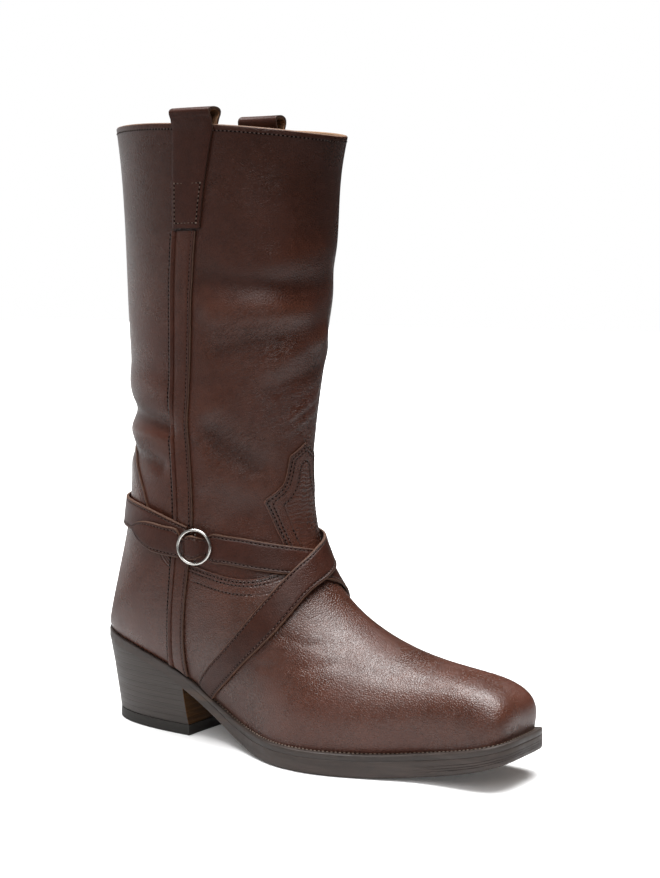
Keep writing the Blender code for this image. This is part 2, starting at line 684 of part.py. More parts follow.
# strap that starts at the outer side of the sole and lies on top at the instep
STRAP_OVER = (
    (-79.0, 34.0, -59.5, 26.0, 1.9), (-62.0, 46.0, -48.0, 37.5, 1.9), (-51.0, 55.5, -41.5, 46.5, 1.9),
    (-37.0, 73.0, -30.0, 63.0, 1.9), (-22.0, 92.0, -18.0, 79.8, 3.0), (-10.0, 103.6, -7.0, 90.2, 4.2),
    (-5.0, 107.2, -2.0, 92.7, 4.3), (0.0, 110.6, 3.0, 94.9, 4.3), (6.0, 113.3, 8.6, 97.2, 4.2),
    (12.0, 115.6, 14.0, 99.4, 3.8), (25.0, 118.0, 26.0, 101.8, 2.2), (41.0, 119.4, 42.0, 103.2, 1.9),
    (61.0, 121.0, 62.0, 104.8, 1.9), (78.0, 123.0, 78.0, 106.8, 2.4), (98.0, 126.0, 98.0, 109.6, 2.4),
    (112.0, 128.6, 112.0, 112.0, 2.2), (132.0, 131.6, 132.0, 114.8, 2.4),
    (155.0, 133.8, 155.0, 116.8, 2.5), (180.0, 134.6, 180.0, 117.6, 2.5),
    (207.0, 134.0, 207.0, 117.0, 2.5), (229.0, 132.0, 229.0, 115.4, 2.4),
    (247.0, 129.0, 247.0, 112.6, 2.2), (262.0, 125.8, 262.0, 110.6, 1.9),
    (276.0, 122.8, 276.0, 110.6, 1.9),
)

# strap that starts at the inner side of the sole, passes the ring and ends in a pointed tab
STRAP_UNDER = (
    (80.0, 34.5, 59.5, 26.0, 1.9), (62.0, 46.0, 48.0, 37.5, 1.9), (51.0, 55.5, 41.5, 46.5, 1.9),
    (37.0, 73.0, 30.0, 63.0, 1.9), (22.0, 92.0, 18.0, 79.8, 2.0), (10.0, 104.0, 7.5, 90.0, 2.1),
    (5.0, 107.2, 2.8, 92.2, 2.1), (0.0, 109.6, -2.0, 94.0, 2.1), (-5.4, 111.2, -7.0, 95.5, 2.1),
    (-10.7, 112.6, -12.0, 96.8, 2.0), (-23.4, 115.5, -24.5, 99.3, 1.7), (-40.0, 118.0, -41.0, 101.8, 0.8),
    (-52.0, 118.9, -52.4, 102.8, 0.7), (-60.0, 119.3, -60.3, 103.3, 0.7),
    (-63.0, 118.4, -63.0, 104.8, 0.8), (-66.0, 116.8, -66.0, 106.8, 2.2),
    (-69.0, 117.6, -69.0, 106.0, 5.2), (-76.0, 119.2, -76.0, 104.6, 6.8),
    (-83.0, 117.4, -83.0, 106.4, 5.5), (-86.0, 115.8, -86.0, 107.6, 4.3),
    (-89.0, 117.0, -89.0, 106.8, 3.6), (-93.0, 121.2, -93.0, 105.2, 3.6),
    (-103.0, 122.4, -103.0, 105.7, 4.0), (-114.0, 123.3, -114.0, 106.4, 4.2),
    (-124.0, 123.6, -123.0, 108.0, 4.3), (-131.0, 122.8, -129.5, 110.8, 4.3),
    (-136.0, 121.0, -134.6, 114.2, 4.3), (-138.6, 119.2, -138.0, 117.4, 4.3),
)

RING_ANGLE = -76.0
RING_HEIGHT = 111.8
RING_RADIUS = 9.4
RING_WIRE = 0.9
RING_LIFT = 5.5
RING_TURN = 10.5
RING_TIP = 0.03


def build_ring(look):
    """Round buckle with an upright bar across its middle."""
    place, girth = find_on_upper(np.array([RING_ANGLE]), np.array([RING_HEIGHT]))
    centre = upper_points(place, girth)[0]
    normal = upper_normals(place, girth)[0]
    turn = math.radians(RING_TURN)
    facing = np.array((normal[0] * math.cos(turn) - normal[1] * math.sin(turn),
                       normal[0] * math.sin(turn) + normal[1] * math.cos(turn), RING_TIP))
    facing /= np.linalg.norm(facing)
    centre = centre + facing * RING_LIFT
    along = np.cross(np.array((0.0, 0.0, 1.0)), facing)
    along /= np.linalg.norm(along)
    upright = np.cross(facing, along)
    rim_count = 32
    wire_count = 8
    points = []
    faces = []
    for i in range(rim_count):
        a = 2 * math.pi * i / rim_count
        spoke = along * math.cos(a) + upright * math.sin(a)
        for j in range(wire_count):
            b = 2 * math.pi * j / wire_count
            reach = RING_RADIUS + RING_WIRE * math.cos(b)
            points.append(centre + spoke * reach + facing * RING_WIRE * math.sin(b))
            i2 = (i + 1) % rim_count
            j2 = (j + 1) % wire_count
            faces.append((i * wire_count + j, i2 * wire_count + j, i2 * wire_count + j2, i * wire_count + j2))
    ring = add_object("ring_buckle", points, faces, look)
    bar_points = []
    bar_faces = []
    sides = 10
    for end in (-1.0, 1.0):
        for j in range(sides):
            b = 2 * math.pi * (j + 0.5) / sides
            bar_points.append(centre + upright * end * RING_RADIUS
                              + (along * math.cos(b) + facing * math.sin(b)) * RING_WIRE * 0.62)
    for j in range(sides):
        k = (j + 1) % sides
        bar_faces.append((j, k, sides + k, sides + j))
    bar_faces.append(tuple(reversed(range(sides))))
    bar_faces.append(tuple(range(sides, 2 * sides)))
    bar = add_object("bar", bar_points, bar_faces, None)
    return applied(ring, "ring_buckle", "UNION", bar)


# pull loops, outer side: height, back x, front x, along the outside from the stitched end to the collar
LOOP_OUTSIDE = ((287.0, -55.0, -38.6), (300.0, -54.8, -36.4), (313.0, -54.4, -33.8), (327.0, -53.9, -30.6),
                (340.0, -53.4, -27.6))
OUTER_LOOP_TOP = 8.6
INNER_LOOP_TOP = 11.4
LOOP_SPREAD = 7.4
# the inner loop sits this much nearer the back
INNER_LOOP_BACK = 22.0
# lean of the inner strip, in degrees round the ankle line, and the heights it starts and ends at
INNER_LEAN = 27.5
INNER_LEAN_FROM = 150.0
INNER_LEAN_END = 285.6
LOOP_INSIDE = (327.0, 312.0, 300.0)


def build_loop(name, side, look):
    """Pull loop: flat on the outside of the shaft, over the collar in an arch, down the inside."""
    across = np.linspace(0.0, 1.0, 4)
    shift = INNER_LOOP_BACK if side > 0 else 0.0
    loop_top = INNER_LOOP_TOP if side > 0 else OUTER_LOOP_TOP
    rows_low = []
    rows_top = []

    def shaft_row(height, back, front, offset):
        x = back + (front - back) * across - shift
        angle = side * np.degrees(np.arctan2(45.0, x - ANKLE_X))
        heights = np.full(len(x), height)
        for _ in range(6):
            place, girth = find_on_upper(angle, heights)
            found = upper_points(place, girth)
            angle = side * np.degrees(np.arctan2(np.abs(found[:, 1]), x - ANKLE_X))
        return found + upper_normals(place, girth) * offset

    for height, back, front in LOOP_OUTSIDE:
        rows_low.append(shaft_row(height, back, front, 0.5))
        rows_top.append(shaft_row(height, back, front, 0.5 + LOOP_THICK))
    last = LOOP_OUTSIDE[-1]
    rim = shaft_row(last[0], last[1], last[2], 0.0)
    middle = rim.copy()
    middle[:, 1] -= side * WALL / 2
    start = WALL / 2 + 0.5
    for turn in np.linspace(0.0, math.pi, 9)[1:-1]:
        for rows, extra in ((rows_low, 0.0), (rows_top, LOOP_THICK)):
            swell = math.sin(turn) ** 0.8
            out = (start + (LOOP_SPREAD - start - 0.6) * swell + extra) * math.cos(turn)
            rise = 3.6 + (loop_top - LOOP_THICK - 1.0 + extra) * math.sin(turn) ** 0.7
            arch = middle.copy()
            arch[:, 1] += side * out
            arch[:, 2] += rise
            rows.append(arch)
    for height in (340.0,) + LOOP_INSIDE:
        rows_low.append(shaft_row(height, last[1], last[2], -WALL - 0.5))
        rows_top.append(shaft_row(height, last[1], last[2], -WALL - 0.5 - LOOP_THICK))
    faces = grid_faces(len(rows_low), len(across))
    if side > 0:
        faces = [face[::-1] for face in faces]
    return stack(name, faces, [np.concatenate(rows_top), np.concatenate(rows_low)], look)


def inner_strip(rows):
    """Rows of the side strip for the inner side, leaning back to its loop above the ankle."""
    out = np.asarray(rows, float).copy()
    for angle, height in ((0, 1), (2, 3)):
        share = (out[:, height] - INNER_LEAN_FROM) / (INNER_LEAN_END - INNER_LEAN_FROM)
        out[:, angle] = INNER_LEAN * np.clip(share, 0.0, 1.0) ** 1.5 - out[:, angle]
    return out


for old in list(bpy.data.objects):
    bpy.data.objects.remove(old, do_unlink=True)

leather = material("brown_leather", (0.055, 0.022, 0.014), 0.45)
vamp_leather = material("vamp_leather", (0.070, 0.026, 0.017), 0.40)
counter_leather = material("counter_leather", (0.058, 0.022, 0.015), 0.42)
strap_leather = material("strap_leather", (0.052, 0.020, 0.013), 0.42)
strip_leather = material("strip_leather", (0.056, 0.022, 0.014), 0.45)
sole_leather = material("sole_leather", (0.060, 0.042, 0.034), 0.55)
welt_leather = material("welt_leather", (0.050, 0.034, 0.028), 0.55)
heel_leather = material("heel_leather", (0.052, 0.040, 0.034), 0.55)
tip_rubber = material("tip_rubber", (0.012, 0.012, 0.012), 0.60)
insole_leather = material("insole_leather", (0.42, 0.26, 0.14), 0.70)
bright_metal = material("bright_metal", (0.75, 0.74, 0.72), 0.18, 1.0)

build_outsole(sole_leather)
build_welt(welt_leather)
build_heel(heel_leather)
build_heel_tip(tip_rubber)
build_insole(insole_leather)
build_upper(leather)
build_panels(vamp_leather, counter_leather)
strip_rows = dense(SIDE_STRIP, 13.0)
ribbon("side_strip_lateral", strip_rows, STRIP_THICK, strip_leather, across=2)
ribbon("side_strip_medial", inner_strip(strip_rows), STRIP_THICK, strip_leather, across=2)
ribbon("strap_over", dense(STRAP_OVER, 8.5), STRAP_THICK, strap_leather)
ribbon("strap_under", dense(STRAP_UNDER, 8.5), STRAP_THICK, strap_leather)
build_ring(bright_metal)
build_loop("pull_loop_lateral", -1.0, leather)
build_loop("pull_loop_medial", 1.0, leather)
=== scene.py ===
"""Looks of the tall leather boot: fine surfaces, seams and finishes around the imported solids.

Sizes are in millimetres until a piece is added. The frame is the solids' own: toe towards +X,
outer side of the right foot towards -Y, the floor at z = 0.
"""
import math

import bpy
import numpy as np
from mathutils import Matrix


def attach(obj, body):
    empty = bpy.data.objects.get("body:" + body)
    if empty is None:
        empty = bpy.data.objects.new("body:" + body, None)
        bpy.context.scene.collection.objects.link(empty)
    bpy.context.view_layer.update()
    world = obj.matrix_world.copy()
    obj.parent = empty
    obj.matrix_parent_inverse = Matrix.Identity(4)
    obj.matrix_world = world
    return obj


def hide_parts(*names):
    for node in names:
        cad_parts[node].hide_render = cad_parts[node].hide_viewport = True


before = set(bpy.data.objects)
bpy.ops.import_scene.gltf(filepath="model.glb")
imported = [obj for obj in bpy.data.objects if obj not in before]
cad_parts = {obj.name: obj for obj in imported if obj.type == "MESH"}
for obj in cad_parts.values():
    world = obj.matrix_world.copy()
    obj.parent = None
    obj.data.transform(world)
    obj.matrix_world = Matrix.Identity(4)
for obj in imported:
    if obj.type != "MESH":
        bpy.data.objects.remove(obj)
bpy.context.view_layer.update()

MM = 0.001
MM_PER_METRE = 1000.0

# thicknesses and gaps
WALL = 2.2
PANEL_LOW = 0.15
PANEL_TOP = 1.3
PANEL_LAST_PLACE = 330.0
LOOP_THICK = 1.6
LOOP_GAP = 0.5
WELT_FORE = 3.0
WELT_HEEL = 1.6
WELT_LAP = 4.5
SEAT_GAP = 0.3
FEATHER_GAP = 0.1
HEEL_TIP_THICK = 6.2

# the upright line the ankle straps are measured around
ANKLE_X = -58.0

# one row per section of the upper, from the toe edge to the collar
SECTION_COLUMNS = ("base_x", "base_lateral", "base_medial", "back_z", "top_x", "top_z", "top_y",
                   "half_lateral", "half_medial", "widest", "top_square", "low_square",
                   "lift_lateral", "lift_medial")
SECTIONS = (
    ("toe edge", 113.5, 22.0, 23.0, 0.0, 134.8, 25.2, 1.0, 22.0, 23.0, 0.00, 4.80, 2.0, 0.0, 0.0),
    ("toe wall", 107.5, 22.4, 24.0, 0.0, 135.6, 37.8, 1.2, 22.7, 24.4, 0.05, 4.50, 2.0, 0.0, 0.0),
    ("toe top", 98.0, 23.4, 26.0, 0.0, 127.8, 46.2, 1.8, 24.0, 27.2, 0.12, 3.90, 2.0, 0.0, 0.0),
    ("toe box", 84.0, 26.8, 29.4, 0.0, 106.8, 51.6, 3.0, 27.9, 30.9, 0.20, 3.00, 2.0, 0.0, 0.0),
    ("joint", 62.0, 35.8, 34.7, 0.0, 80.6, 55.2, 4.0, 37.2, 36.7, 0.25, 2.35, 2.0, 0.0, 0.0),
    ("ball", 36.0, 43.7, 37.2, 0.0, 52.4, 63.1, 4.0, 44.7, 39.2, 0.27, 2.10, 2.0, 0.0, 0.0),
    ("fore waist", 12.0, 42.7, 32.7, 0.0, 31.6, 74.4, 4.0, 44.2, 36.7, 0.30, 2.00, 2.0, 0.0, 0.0),
    ("waist", -12.0, 33.7, 24.7, 0.0, 17.9, 87.2, 3.0, 38.2, 33.7, 0.36, 2.00, 2.0, 0.0, 0.0),
    ("instep", -38.0, 25.7, 22.2, 0.0, 7.8, 101.4, 2.5, 35.7, 33.2, 0.42, 2.00, 2.0, 0.0, 0.0),
    ("high instep", -66.0, 24.2, 24.7, 0.0, 2.0, 115.6, 2.0, 34.8, 33.8, 0.45, 2.00, 2.0, 0.0, 0.0),
    ("heel one", -91.5, 23.7, 27.2, 0.0, -0.4, 127.3, 1.5, 35.0, 34.5, 0.46, 2.05, 2.0, 0.0, 0.0),
    ("heel two", -115.3, 19.8, 25.8, 0.0, -1.0, 137.0, 1.0, 35.2, 35.2, 0.47, 2.10, 2.0, 0.0, 0.0),
    ("heel three", -131.0, 11.7, 16.6, 0.0, -1.0, 145.5, 1.0, 35.4, 35.4, 0.48, 2.10, 2.0, 0.0, 0.0),
    ("heel back", -137.2, 0.0, 0.0, 53.3, -0.9, 153.0, 0.5, 35.6, 35.6, 0.49, 2.10, 2.0, 0.0, 0.0),
    ("counter", -129.8, 0.0, 0.0, 80.0, -0.3, 165.0, 0.0, 36.0, 36.0, 0.50, 2.15, 2.0, 0.0, 0.0),
    ("ankle", -120.3, 0.0, 0.0, 115.0, 0.8, 179.0, 0.0, 37.0, 37.0, 0.50, 2.15, 2.0, 0.0, 0.0),
    ("over ankle", -115.0, 0.0, 0.0, 155.0, 2.5, 195.0, 0.0, 38.5, 38.5, 0.50, 2.20, 2.1, 0.0, 0.0),
    ("low shaft", -115.3, 0.0, 0.0, 195.0, 6.0, 217.0, 0.0, 40.5, 40.5, 0.50, 2.20, 2.1, 0.0, 0.0),
    ("mid shaft", -116.8, 0.0, 0.0, 240.0, 10.5, 251.0, 0.0, 43.0, 43.0, 0.50, 2.20, 2.1, 0.0, 0.0),
    ("high shaft", -118.3, 0.0, 0.0, 290.0, 14.0, 293.0, 0.0, 45.0, 45.0, 0.50, 2.20, 2.1, 1.0, 1.5),
    ("under collar", -121.5, 0.0, 0.0, 328.0, 16.8, 322.0, 0.0, 46.0, 46.0, 0.50, 2.20, 2.1, 2.4, 3.4),
    ("collar", -124.0, 0.0, 0.0, 343.5, 20.0, 335.5, 0.0, 46.5, 46.5, 0.50, 2.20, 2.1, 3.0, 5.0),
)
HEEL_ROW = [row[0] for row in SECTIONS].index("heel back")
TABLE = {name: np.array([row[i + 1] for row in SECTIONS]) for i, name in enumerate(SECTION_COLUMNS)}

# side view of the sole: x, height of the welt's top; then x, height of the underside of the arch
SEAT_LINE = ((-142.0, 53.5), (-110.0, 48.0), (-85.0, 41.5), (-62.0, 33.0), (-40.0, 22.0), (-20.0, 14.9),
             (0.0, 12.3), (20.0, 12.0), (50.0, 12.3), (75.0, 13.3), (100.0, 16.6), (120.0, 20.6),
             (142.0, 26.8))
ARCH_LINE = ((-142.0, 48.9), (-110.0, 42.6), (-85.0, 35.8), (-65.0, 26.8), (-45.0, 15.5), (-25.0, 6.2),
             (-8.0, 1.6), (5.0, 0.2), (12.0, 0.0))
FLAT_END = 55.0
TOE_SPRING = 15.2
TOE_SPRING_X = 140.0
# margin of the sole beyond the upper: place along the sections, margin
MARGIN = ((0.0, 5.7), (40.0, 5.6), (90.0, 5.2), (150.0, 4.0), (190.0, 3.2), (240.0, 3.4))

# main creases: start, middle and end as degrees round the ankle line and height; half width, swell
CREASES = (
    ("shaft front ridge", (-56, 241), (-30, 242), (-8, 240), 9.0, 2.6),
    ("shaft front hollow", (-62, 261), (-34, 257), (0, 258), 7.5, -1.6),
    ("high front swell", (-24, 270), (-14, 272), (-2, 276), 8.0, 1.3),
    ("mid hollow", (-54, 221), (-32, 227), (-6, 237), 6.0, -1.1),
    ("mid ridge", (-24, 212), (-12, 220), (8, 230), 6.0, 1.6),
    ("low front hollow", (-26, 199), (-12, 205), (8, 212), 5.0, -0.9),
    ("front wrinkle one", (-13, 176), (-5, 181), (8, 187), 2.6, 0.9),
    ("front wrinkle two", (-15, 182), (-6, 187), (8, 194), 2.4, 0.8),
    ("front wrinkle three", (-12, 184), (-3, 191), (9, 198), 2.6, 0.6),
    ("ankle hollow", (-60, 176), (-46, 167), (-31, 157), 9.0, -2.4),
    ("ankle swell", (-46, 152), (-30, 147), (-20, 142), 10.0, 1.3),
    ("strip side swell", (-74, 182), (-66, 186), (-56, 190), 8.0, 1.3),
    ("strip side ridge", (-73, 174), (-66, 163), (-68, 147), 5.0, 1.0),
    ("back hollow", (-176, 186), (-140, 184), (-103, 178), 6.0, -3.2),
    ("back swell", (-170, 174), (-130, 173), (-104, 171), 4.5, 1.2),
    ("low back hollow", (-176, 161), (-140, 161), (-112, 156), 5.0, -2.2),
    ("upper back swell", (-165, 202), (-130, 201), (-104, 196), 8.0, 1.3),
    ("inner back hollow", (168, 178), (140, 182), (108, 176), 7.0, -2.2),
    ("inner ankle hollow", (62, 176), (48, 168), (30, 160), 9.0, -1.8),
    ("inner mid ridge", (34, 214), (20, 220), (4, 226), 7.0, 1.2),
    ("inner high hollow", (66, 262), (38, 268), (12, 262), 10.0, -1.3),
    ("instep fold", (-24, 66), (-17, 63), (-8, 64), 2.6, -0.45),
    ("vamp fold", (-32, 50), (-22, 53), (-14, 56), 2.8, -0.45),
)
# patches of fine slanted wrinkles on the shaft: x, height, reach
WRINKLE_PATCHES = ((-14.0, 228.0, 30.0), (-2.0, 186.0, 26.0), (-30.0, 170.0, 26.0))


def spline(knots, values, at, end_slope=None):
    """Cubic curve through the values with even bending at each knot; the end slope can be set."""
    knots = np.asarray(knots, float)
    values = np.asarray(values, float)
    count = len(knots)
    step = np.diff(knots)
    rise = np.diff(values) / step
    system = np.eye(count)
    right = np.zeros(count)
    for i in range(1, count - 1):
        system[i, i - 1:i + 2] = step[i - 1], 2 * (step[i - 1] + step[i]), step[i]
        right[i] = 6 * (rise[i] - rise[i - 1])
    if end_slope is not None:
        system[-1, -2:] = step[-1], 2 * step[-1]
        right[-1] = 6 * (end_slope - rise[-1])
    bend = np.linalg.solve(system, right)
    at = np.asarray(at, float)
    i = np.clip(np.searchsorted(knots, at) - 1, 0, count - 2)
    d = at - knots[i]
    slope = rise[i] - step[i] * (2 * bend[i] + bend[i + 1]) / 6
    return values[i] + d * (slope + d * (bend[i] / 2 + d * (bend[i + 1] - bend[i]) / (6 * step[i])))


def smooth_step(value, low, high):
    """0 below low, 1 above high, with a soft cubic change between."""
    share = np.clip((np.asarray(value, float) - low) / (high - low), 0.0, 1.0)
    return share * share * (3.0 - 2.0 * share)


def sole_top(x):
    """Height of the welt's top at x."""
    line = np.array(SEAT_LINE)
    return spline(line[:, 0], line[:, 1], x)


def sole_low(x):
    """Height of the outsole's underside: arch, flat forefoot, toe spring as a parabola."""
    x = np.asarray(x, float)
    line = np.array(ARCH_LINE)
    arch = spline(line[:, 0], line[:, 1], np.minimum(x, line[-1, 0]), end_slope=0.0)
    spring = TOE_SPRING * (np.maximum(x - FLAT_END, 0.0) / (TOE_SPRING_X - FLAT_END)) ** 2
    return np.where(x < line[-1, 0], np.maximum(arch, 0.0), spring)


def outsole_top(x):
    """Height of the outsole's top, under a welt that is thinner over the heel."""
    return sole_top(x) - np.interp(x, (-100.0, -30.0), (WELT_HEEL, WELT_FORE)) - SEAT_GAP


# The form of the upper

def section_places():
    """Place of each section: half the running length of the top line and of the base line."""
    base_z = np.where(TABLE["back_z"] > 0, TABLE["back_z"], sole_top(TABLE["base_x"]))
    top_run = np.hypot(np.diff(TABLE["top_x"]), np.diff(TABLE["top_z"]))
    base_run = np.hypot(np.diff(TABLE["base_x"]), np.diff(base_z))
    base_run = np.hypot(base_run, np.diff(TABLE["base_lateral"] + TABLE["base_medial"]) / 2)
    return np.concatenate(([0.0], np.cumsum((top_run + base_run) / 2)))


PLACES = section_places()
HEEL_PLACE = PLACES[HEEL_ROW]
COLLAR_PLACE = PLACES[-1]


def sections_at(place):
    """Section sizes between the rows of the table."""
    out = {name: spline(PLACES, TABLE[name], place) for name in SECTION_COLUMNS[4:]}
    foot = slice(0, HEEL_ROW + 1)
    shaft = slice(HEEL_ROW, None)
    low = np.minimum(place, HEEL_PLACE)
    high = np.maximum(place, HEEL_PLACE)
    is_foot = place < HEEL_PLACE
    foot_x = spline(PLACES[foot], TABLE["base_x"][foot], low, end_slope=0.0)
    back_x = spline(PLACES[shaft], TABLE["base_x"][shaft], high)
    back_z = spline(PLACES[shaft], TABLE["back_z"][shaft], high)
    out["base_x"] = np.where(is_foot, foot_x, back_x)
    out["base_z"] = np.where(is_foot, sole_top(foot_x) + FEATHER_GAP, back_z)
    for name in ("base_lateral", "base_medial"):
        half = spline(PLACES[foot], TABLE[name][foot], low)
        out[name] = np.where(is_foot, np.maximum(half, 0.0), 0.0)
    return out


def section_arches(places, side):
    """One side of each section as an arch from ridge to base.

    A squared ellipse above the widest level meets one below it that is cut off at the base width.
    """
    row = {name: value[:, None] for name, value in sections_at(places).items()}
    half = row["half_" + side]
    base = row["base_" + side]
    widest = row["widest"]
    low_power = 2.0 / row["low_square"]
    top_power = 2.0 / row["top_square"]
    share = np.clip(base / half, 0.0, 1.0)
    last = math.pi - np.arcsin(share ** (1.0 / low_power))
    turn = np.linspace(0.0, 1.0, ARCH_POINTS)[None, :] * last
    cosine = np.abs(np.cos(turn))
    sine = np.abs(np.sin(turn))
    depth = widest / np.maximum(np.abs(np.cos(last)), 1e-6) ** low_power
    above = turn <= math.pi / 2
    high = widest + (1.0 - widest) * cosine ** top_power
    low = widest - depth * cosine ** low_power
    height = np.maximum(np.where(above, high, low), 0.0)
    out = half * np.where(above, sine ** top_power, sine ** low_power)
    x = row["base_x"] + (row["top_x"] - row["base_x"]) * height
    y = (out if side == "medial" else -out) + row["top_y"] * height
    z = row["base_z"] + (row["top_z"] - row["base_z"]) * height + row["lift_" + side] * (out / half) ** 2
    return np.stack((x, y, z), axis=-1)


# points on one side of a section, then rows and columns of the form's table
ARCH_POINTS = 241
FORM_ROWS = 601
FORM_COLUMNS = 481


def plain_form():
    """Table of the upper's outside: rows by place, columns by girth, spread by length round each arch."""
    places = np.linspace(0.0, COLLAR_PLACE, FORM_ROWS)
    middle = FORM_COLUMNS // 2
    share = np.linspace(0.0, 1.0, middle + 1)
    points = np.empty((FORM_ROWS, FORM_COLUMNS, 3))
    for side in ("lateral", "medial"):
        arch = section_arches(places, side)
        length = np.linalg.norm(np.diff(arch, axis=1), axis=2)
        run = np.concatenate((np.zeros((FORM_ROWS, 1)), np.cumsum(length, axis=1)), axis=1)
        spread = np.empty((FORM_ROWS, middle + 1, 3))
        for i in range(FORM_ROWS):
            for axis in range(3):
                spread[i, :, axis] = np.interp(share * run[i, -1], run[i], arch[i, :, axis])
        if side == "medial":
            points[:, middle:] = spread
        else:
            points[:, :middle + 1] = spread[:, ::-1]
    return points


# reach of the soft turn from foot to shaft, and how often it is evened out
HEEL_EASE = 26.0
HEEL_EASE_ROUNDS = 150


def eased_heel(points):
    """Form with the turn from foot to shaft evened out along the slanted row over the heel's back.

    Each round moves a point a quarter of the way to the middle of its two neighbours along the form; the
    edge on the sole stays as it is.
    """
    places = np.linspace(0.0, COLLAR_PLACE, FORM_ROWS)
    near = np.exp(-((places - HEEL_PLACE) / HEEL_EASE) ** 4)
    free = smooth_step(1.0 - np.abs(np.linspace(-1.0, 1.0, FORM_COLUMNS)), 0.015, 0.2)
    share = (0.25 * near[:, None] * free)[1:-1, :, None]
    points = points.copy()
    for _ in range(HEEL_EASE_ROUNDS):
        points[1:-1] += share * (points[2:] - 2.0 * points[1:-1] + points[:-2])
    return points


def form_normals(points):
    """Outward directions of the form's table; the shaft's rows close on themselves at the back."""
    along = np.gradient(points, axis=0)
    wrapped = np.concatenate((points[:, -3:-1], points, points[:, 1:3]), axis=1)
    around = np.gradient(wrapped, axis=1)[:, 2:-2]
    places = np.linspace(0.0, COLLAR_PLACE, FORM_ROWS)
    foot = places < HEEL_PLACE
    around[foot] = np.gradient(points, axis=1)[foot]
    normal = np.cross(around, along)
    size = np.linalg.norm(normal, axis=2)
    size[size < 1e-9] = 1.0
    return normal / size[:, :, None]


def round_ankle(points):
    """Degrees round the ankle line (0 at the toe, minus to the outer side), height, distance."""
    x = points[..., 0] - ANKLE_X
    y = points[..., 1]
    return np.degrees(np.arctan2(y, x)), points[..., 2], np.hypot(x, y)


def bent_line(start, middle, end, count):
    """Points on the curve that bends from start towards middle and on to end."""
    t = np.linspace(0.0, 1.0, count)[:, None]
    start, middle, end = (np.asarray(p, float) for p in (start, middle, end))
    control = 2.0 * middle - (start + end) / 2.0
    return start * (1 - t) ** 2 + 2.0 * control * t * (1 - t) + end * t ** 2


# points along a crease, and share and width of the faint return beside it
CREASE_POINTS = 21
RETURN_SHARE = 0.3
RETURN_WIDTH = 2.2


def crease_swell(points):
    """Swell of the creases: each falls off as a bell from its curve, with a faint return beside it."""
    angle, height, reach = round_ankle(points)
    swell = np.zeros(angle.shape)
    for _, start, middle, end, width, size in CREASES:
        nearest = np.full(angle.shape, 1e9)
        for turn, level in bent_line(start, middle, end, CREASE_POINTS):
            across = np.radians((angle - turn + 180.0) % 360.0 - 180.0) * reach
            nearest = np.minimum(nearest, across ** 2 + (height - level) ** 2)
        bell = np.exp(-nearest / width ** 2)
        swell += size * (bell - RETURN_SHARE * np.exp(-nearest / (RETURN_WIDTH * width) ** 2))
    return swell


def creased_form():
    """Table of the upper's outside with its creases, and its outward directions."""
    points = eased_heel(plain_form())
    points = points + form_normals(points) * crease_swell(points)[:, :, None]
    return np.concatenate((points, form_normals(points)), axis=2)


FORM = creased_form()


def on_form(place, girth, lift=0.0):
    """Points of the upper's outside at a place and girth, lifted outward, and their directions."""
    place = np.clip(np.asarray(place, float), 0.0, COLLAR_PLACE)
    girth = np.asarray(girth, float)
    girth = np.where(place >= HEEL_PLACE, (girth + 1.0) % 2.0 - 1.0, np.clip(girth, -1.0, 1.0))
    row = place / COLLAR_PLACE * (FORM_ROWS - 1)
    column = (girth + 1.0) / 2.0 * (FORM_COLUMNS - 1)
    i = np.minimum(row.astype(int), FORM_ROWS - 2)
    j = np.minimum(column.astype(int), FORM_COLUMNS - 2)
    a = (row - i)[..., None]
    b = (column - j)[..., None]
    near = FORM[i, j] * (1 - b) + FORM[i, j + 1] * b
    far = FORM[i + 1, j] * (1 - b) + FORM[i + 1, j + 1] * b
    mixed = near * (1 - a) + far * a
    normal = mixed[..., 3:]
    size = np.linalg.norm(normal, axis=-1)[..., None]
    normal = normal / np.where(size < 1e-9, 1.0, size)
    return mixed[..., :3] + normal * np.asarray(lift, float)[..., None], normal


def off_sole(points):
    """Points kept above the welt."""
    points = points.copy()
    points[..., 2] = np.maximum(points[..., 2], sole_top(points[..., 0]) + FEATHER_GAP)
    return points


def wrap_degrees(angle):
    """Angle brought into -180 to 180."""
    return (np.asarray(angle, float) + 180.0) % 360.0 - 180.0


# coarse net of the form that a search starts from, and the small steps that give its slopes
NUDGE_PLACE = 0.4
NUDGE_GIRTH = 0.004
SEARCH_PART = 1000
SEARCH_PLACE, SEARCH_GIRTH = np.meshgrid(np.linspace(0.0, COLLAR_PLACE, 140), np.linspace(-1.0, 1.0, 81),
                                         indexing="ij")
SEARCH_ANGLE, SEARCH_HEIGHT, _ = round_ankle(on_form(SEARCH_PLACE, SEARCH_GIRTH)[0])


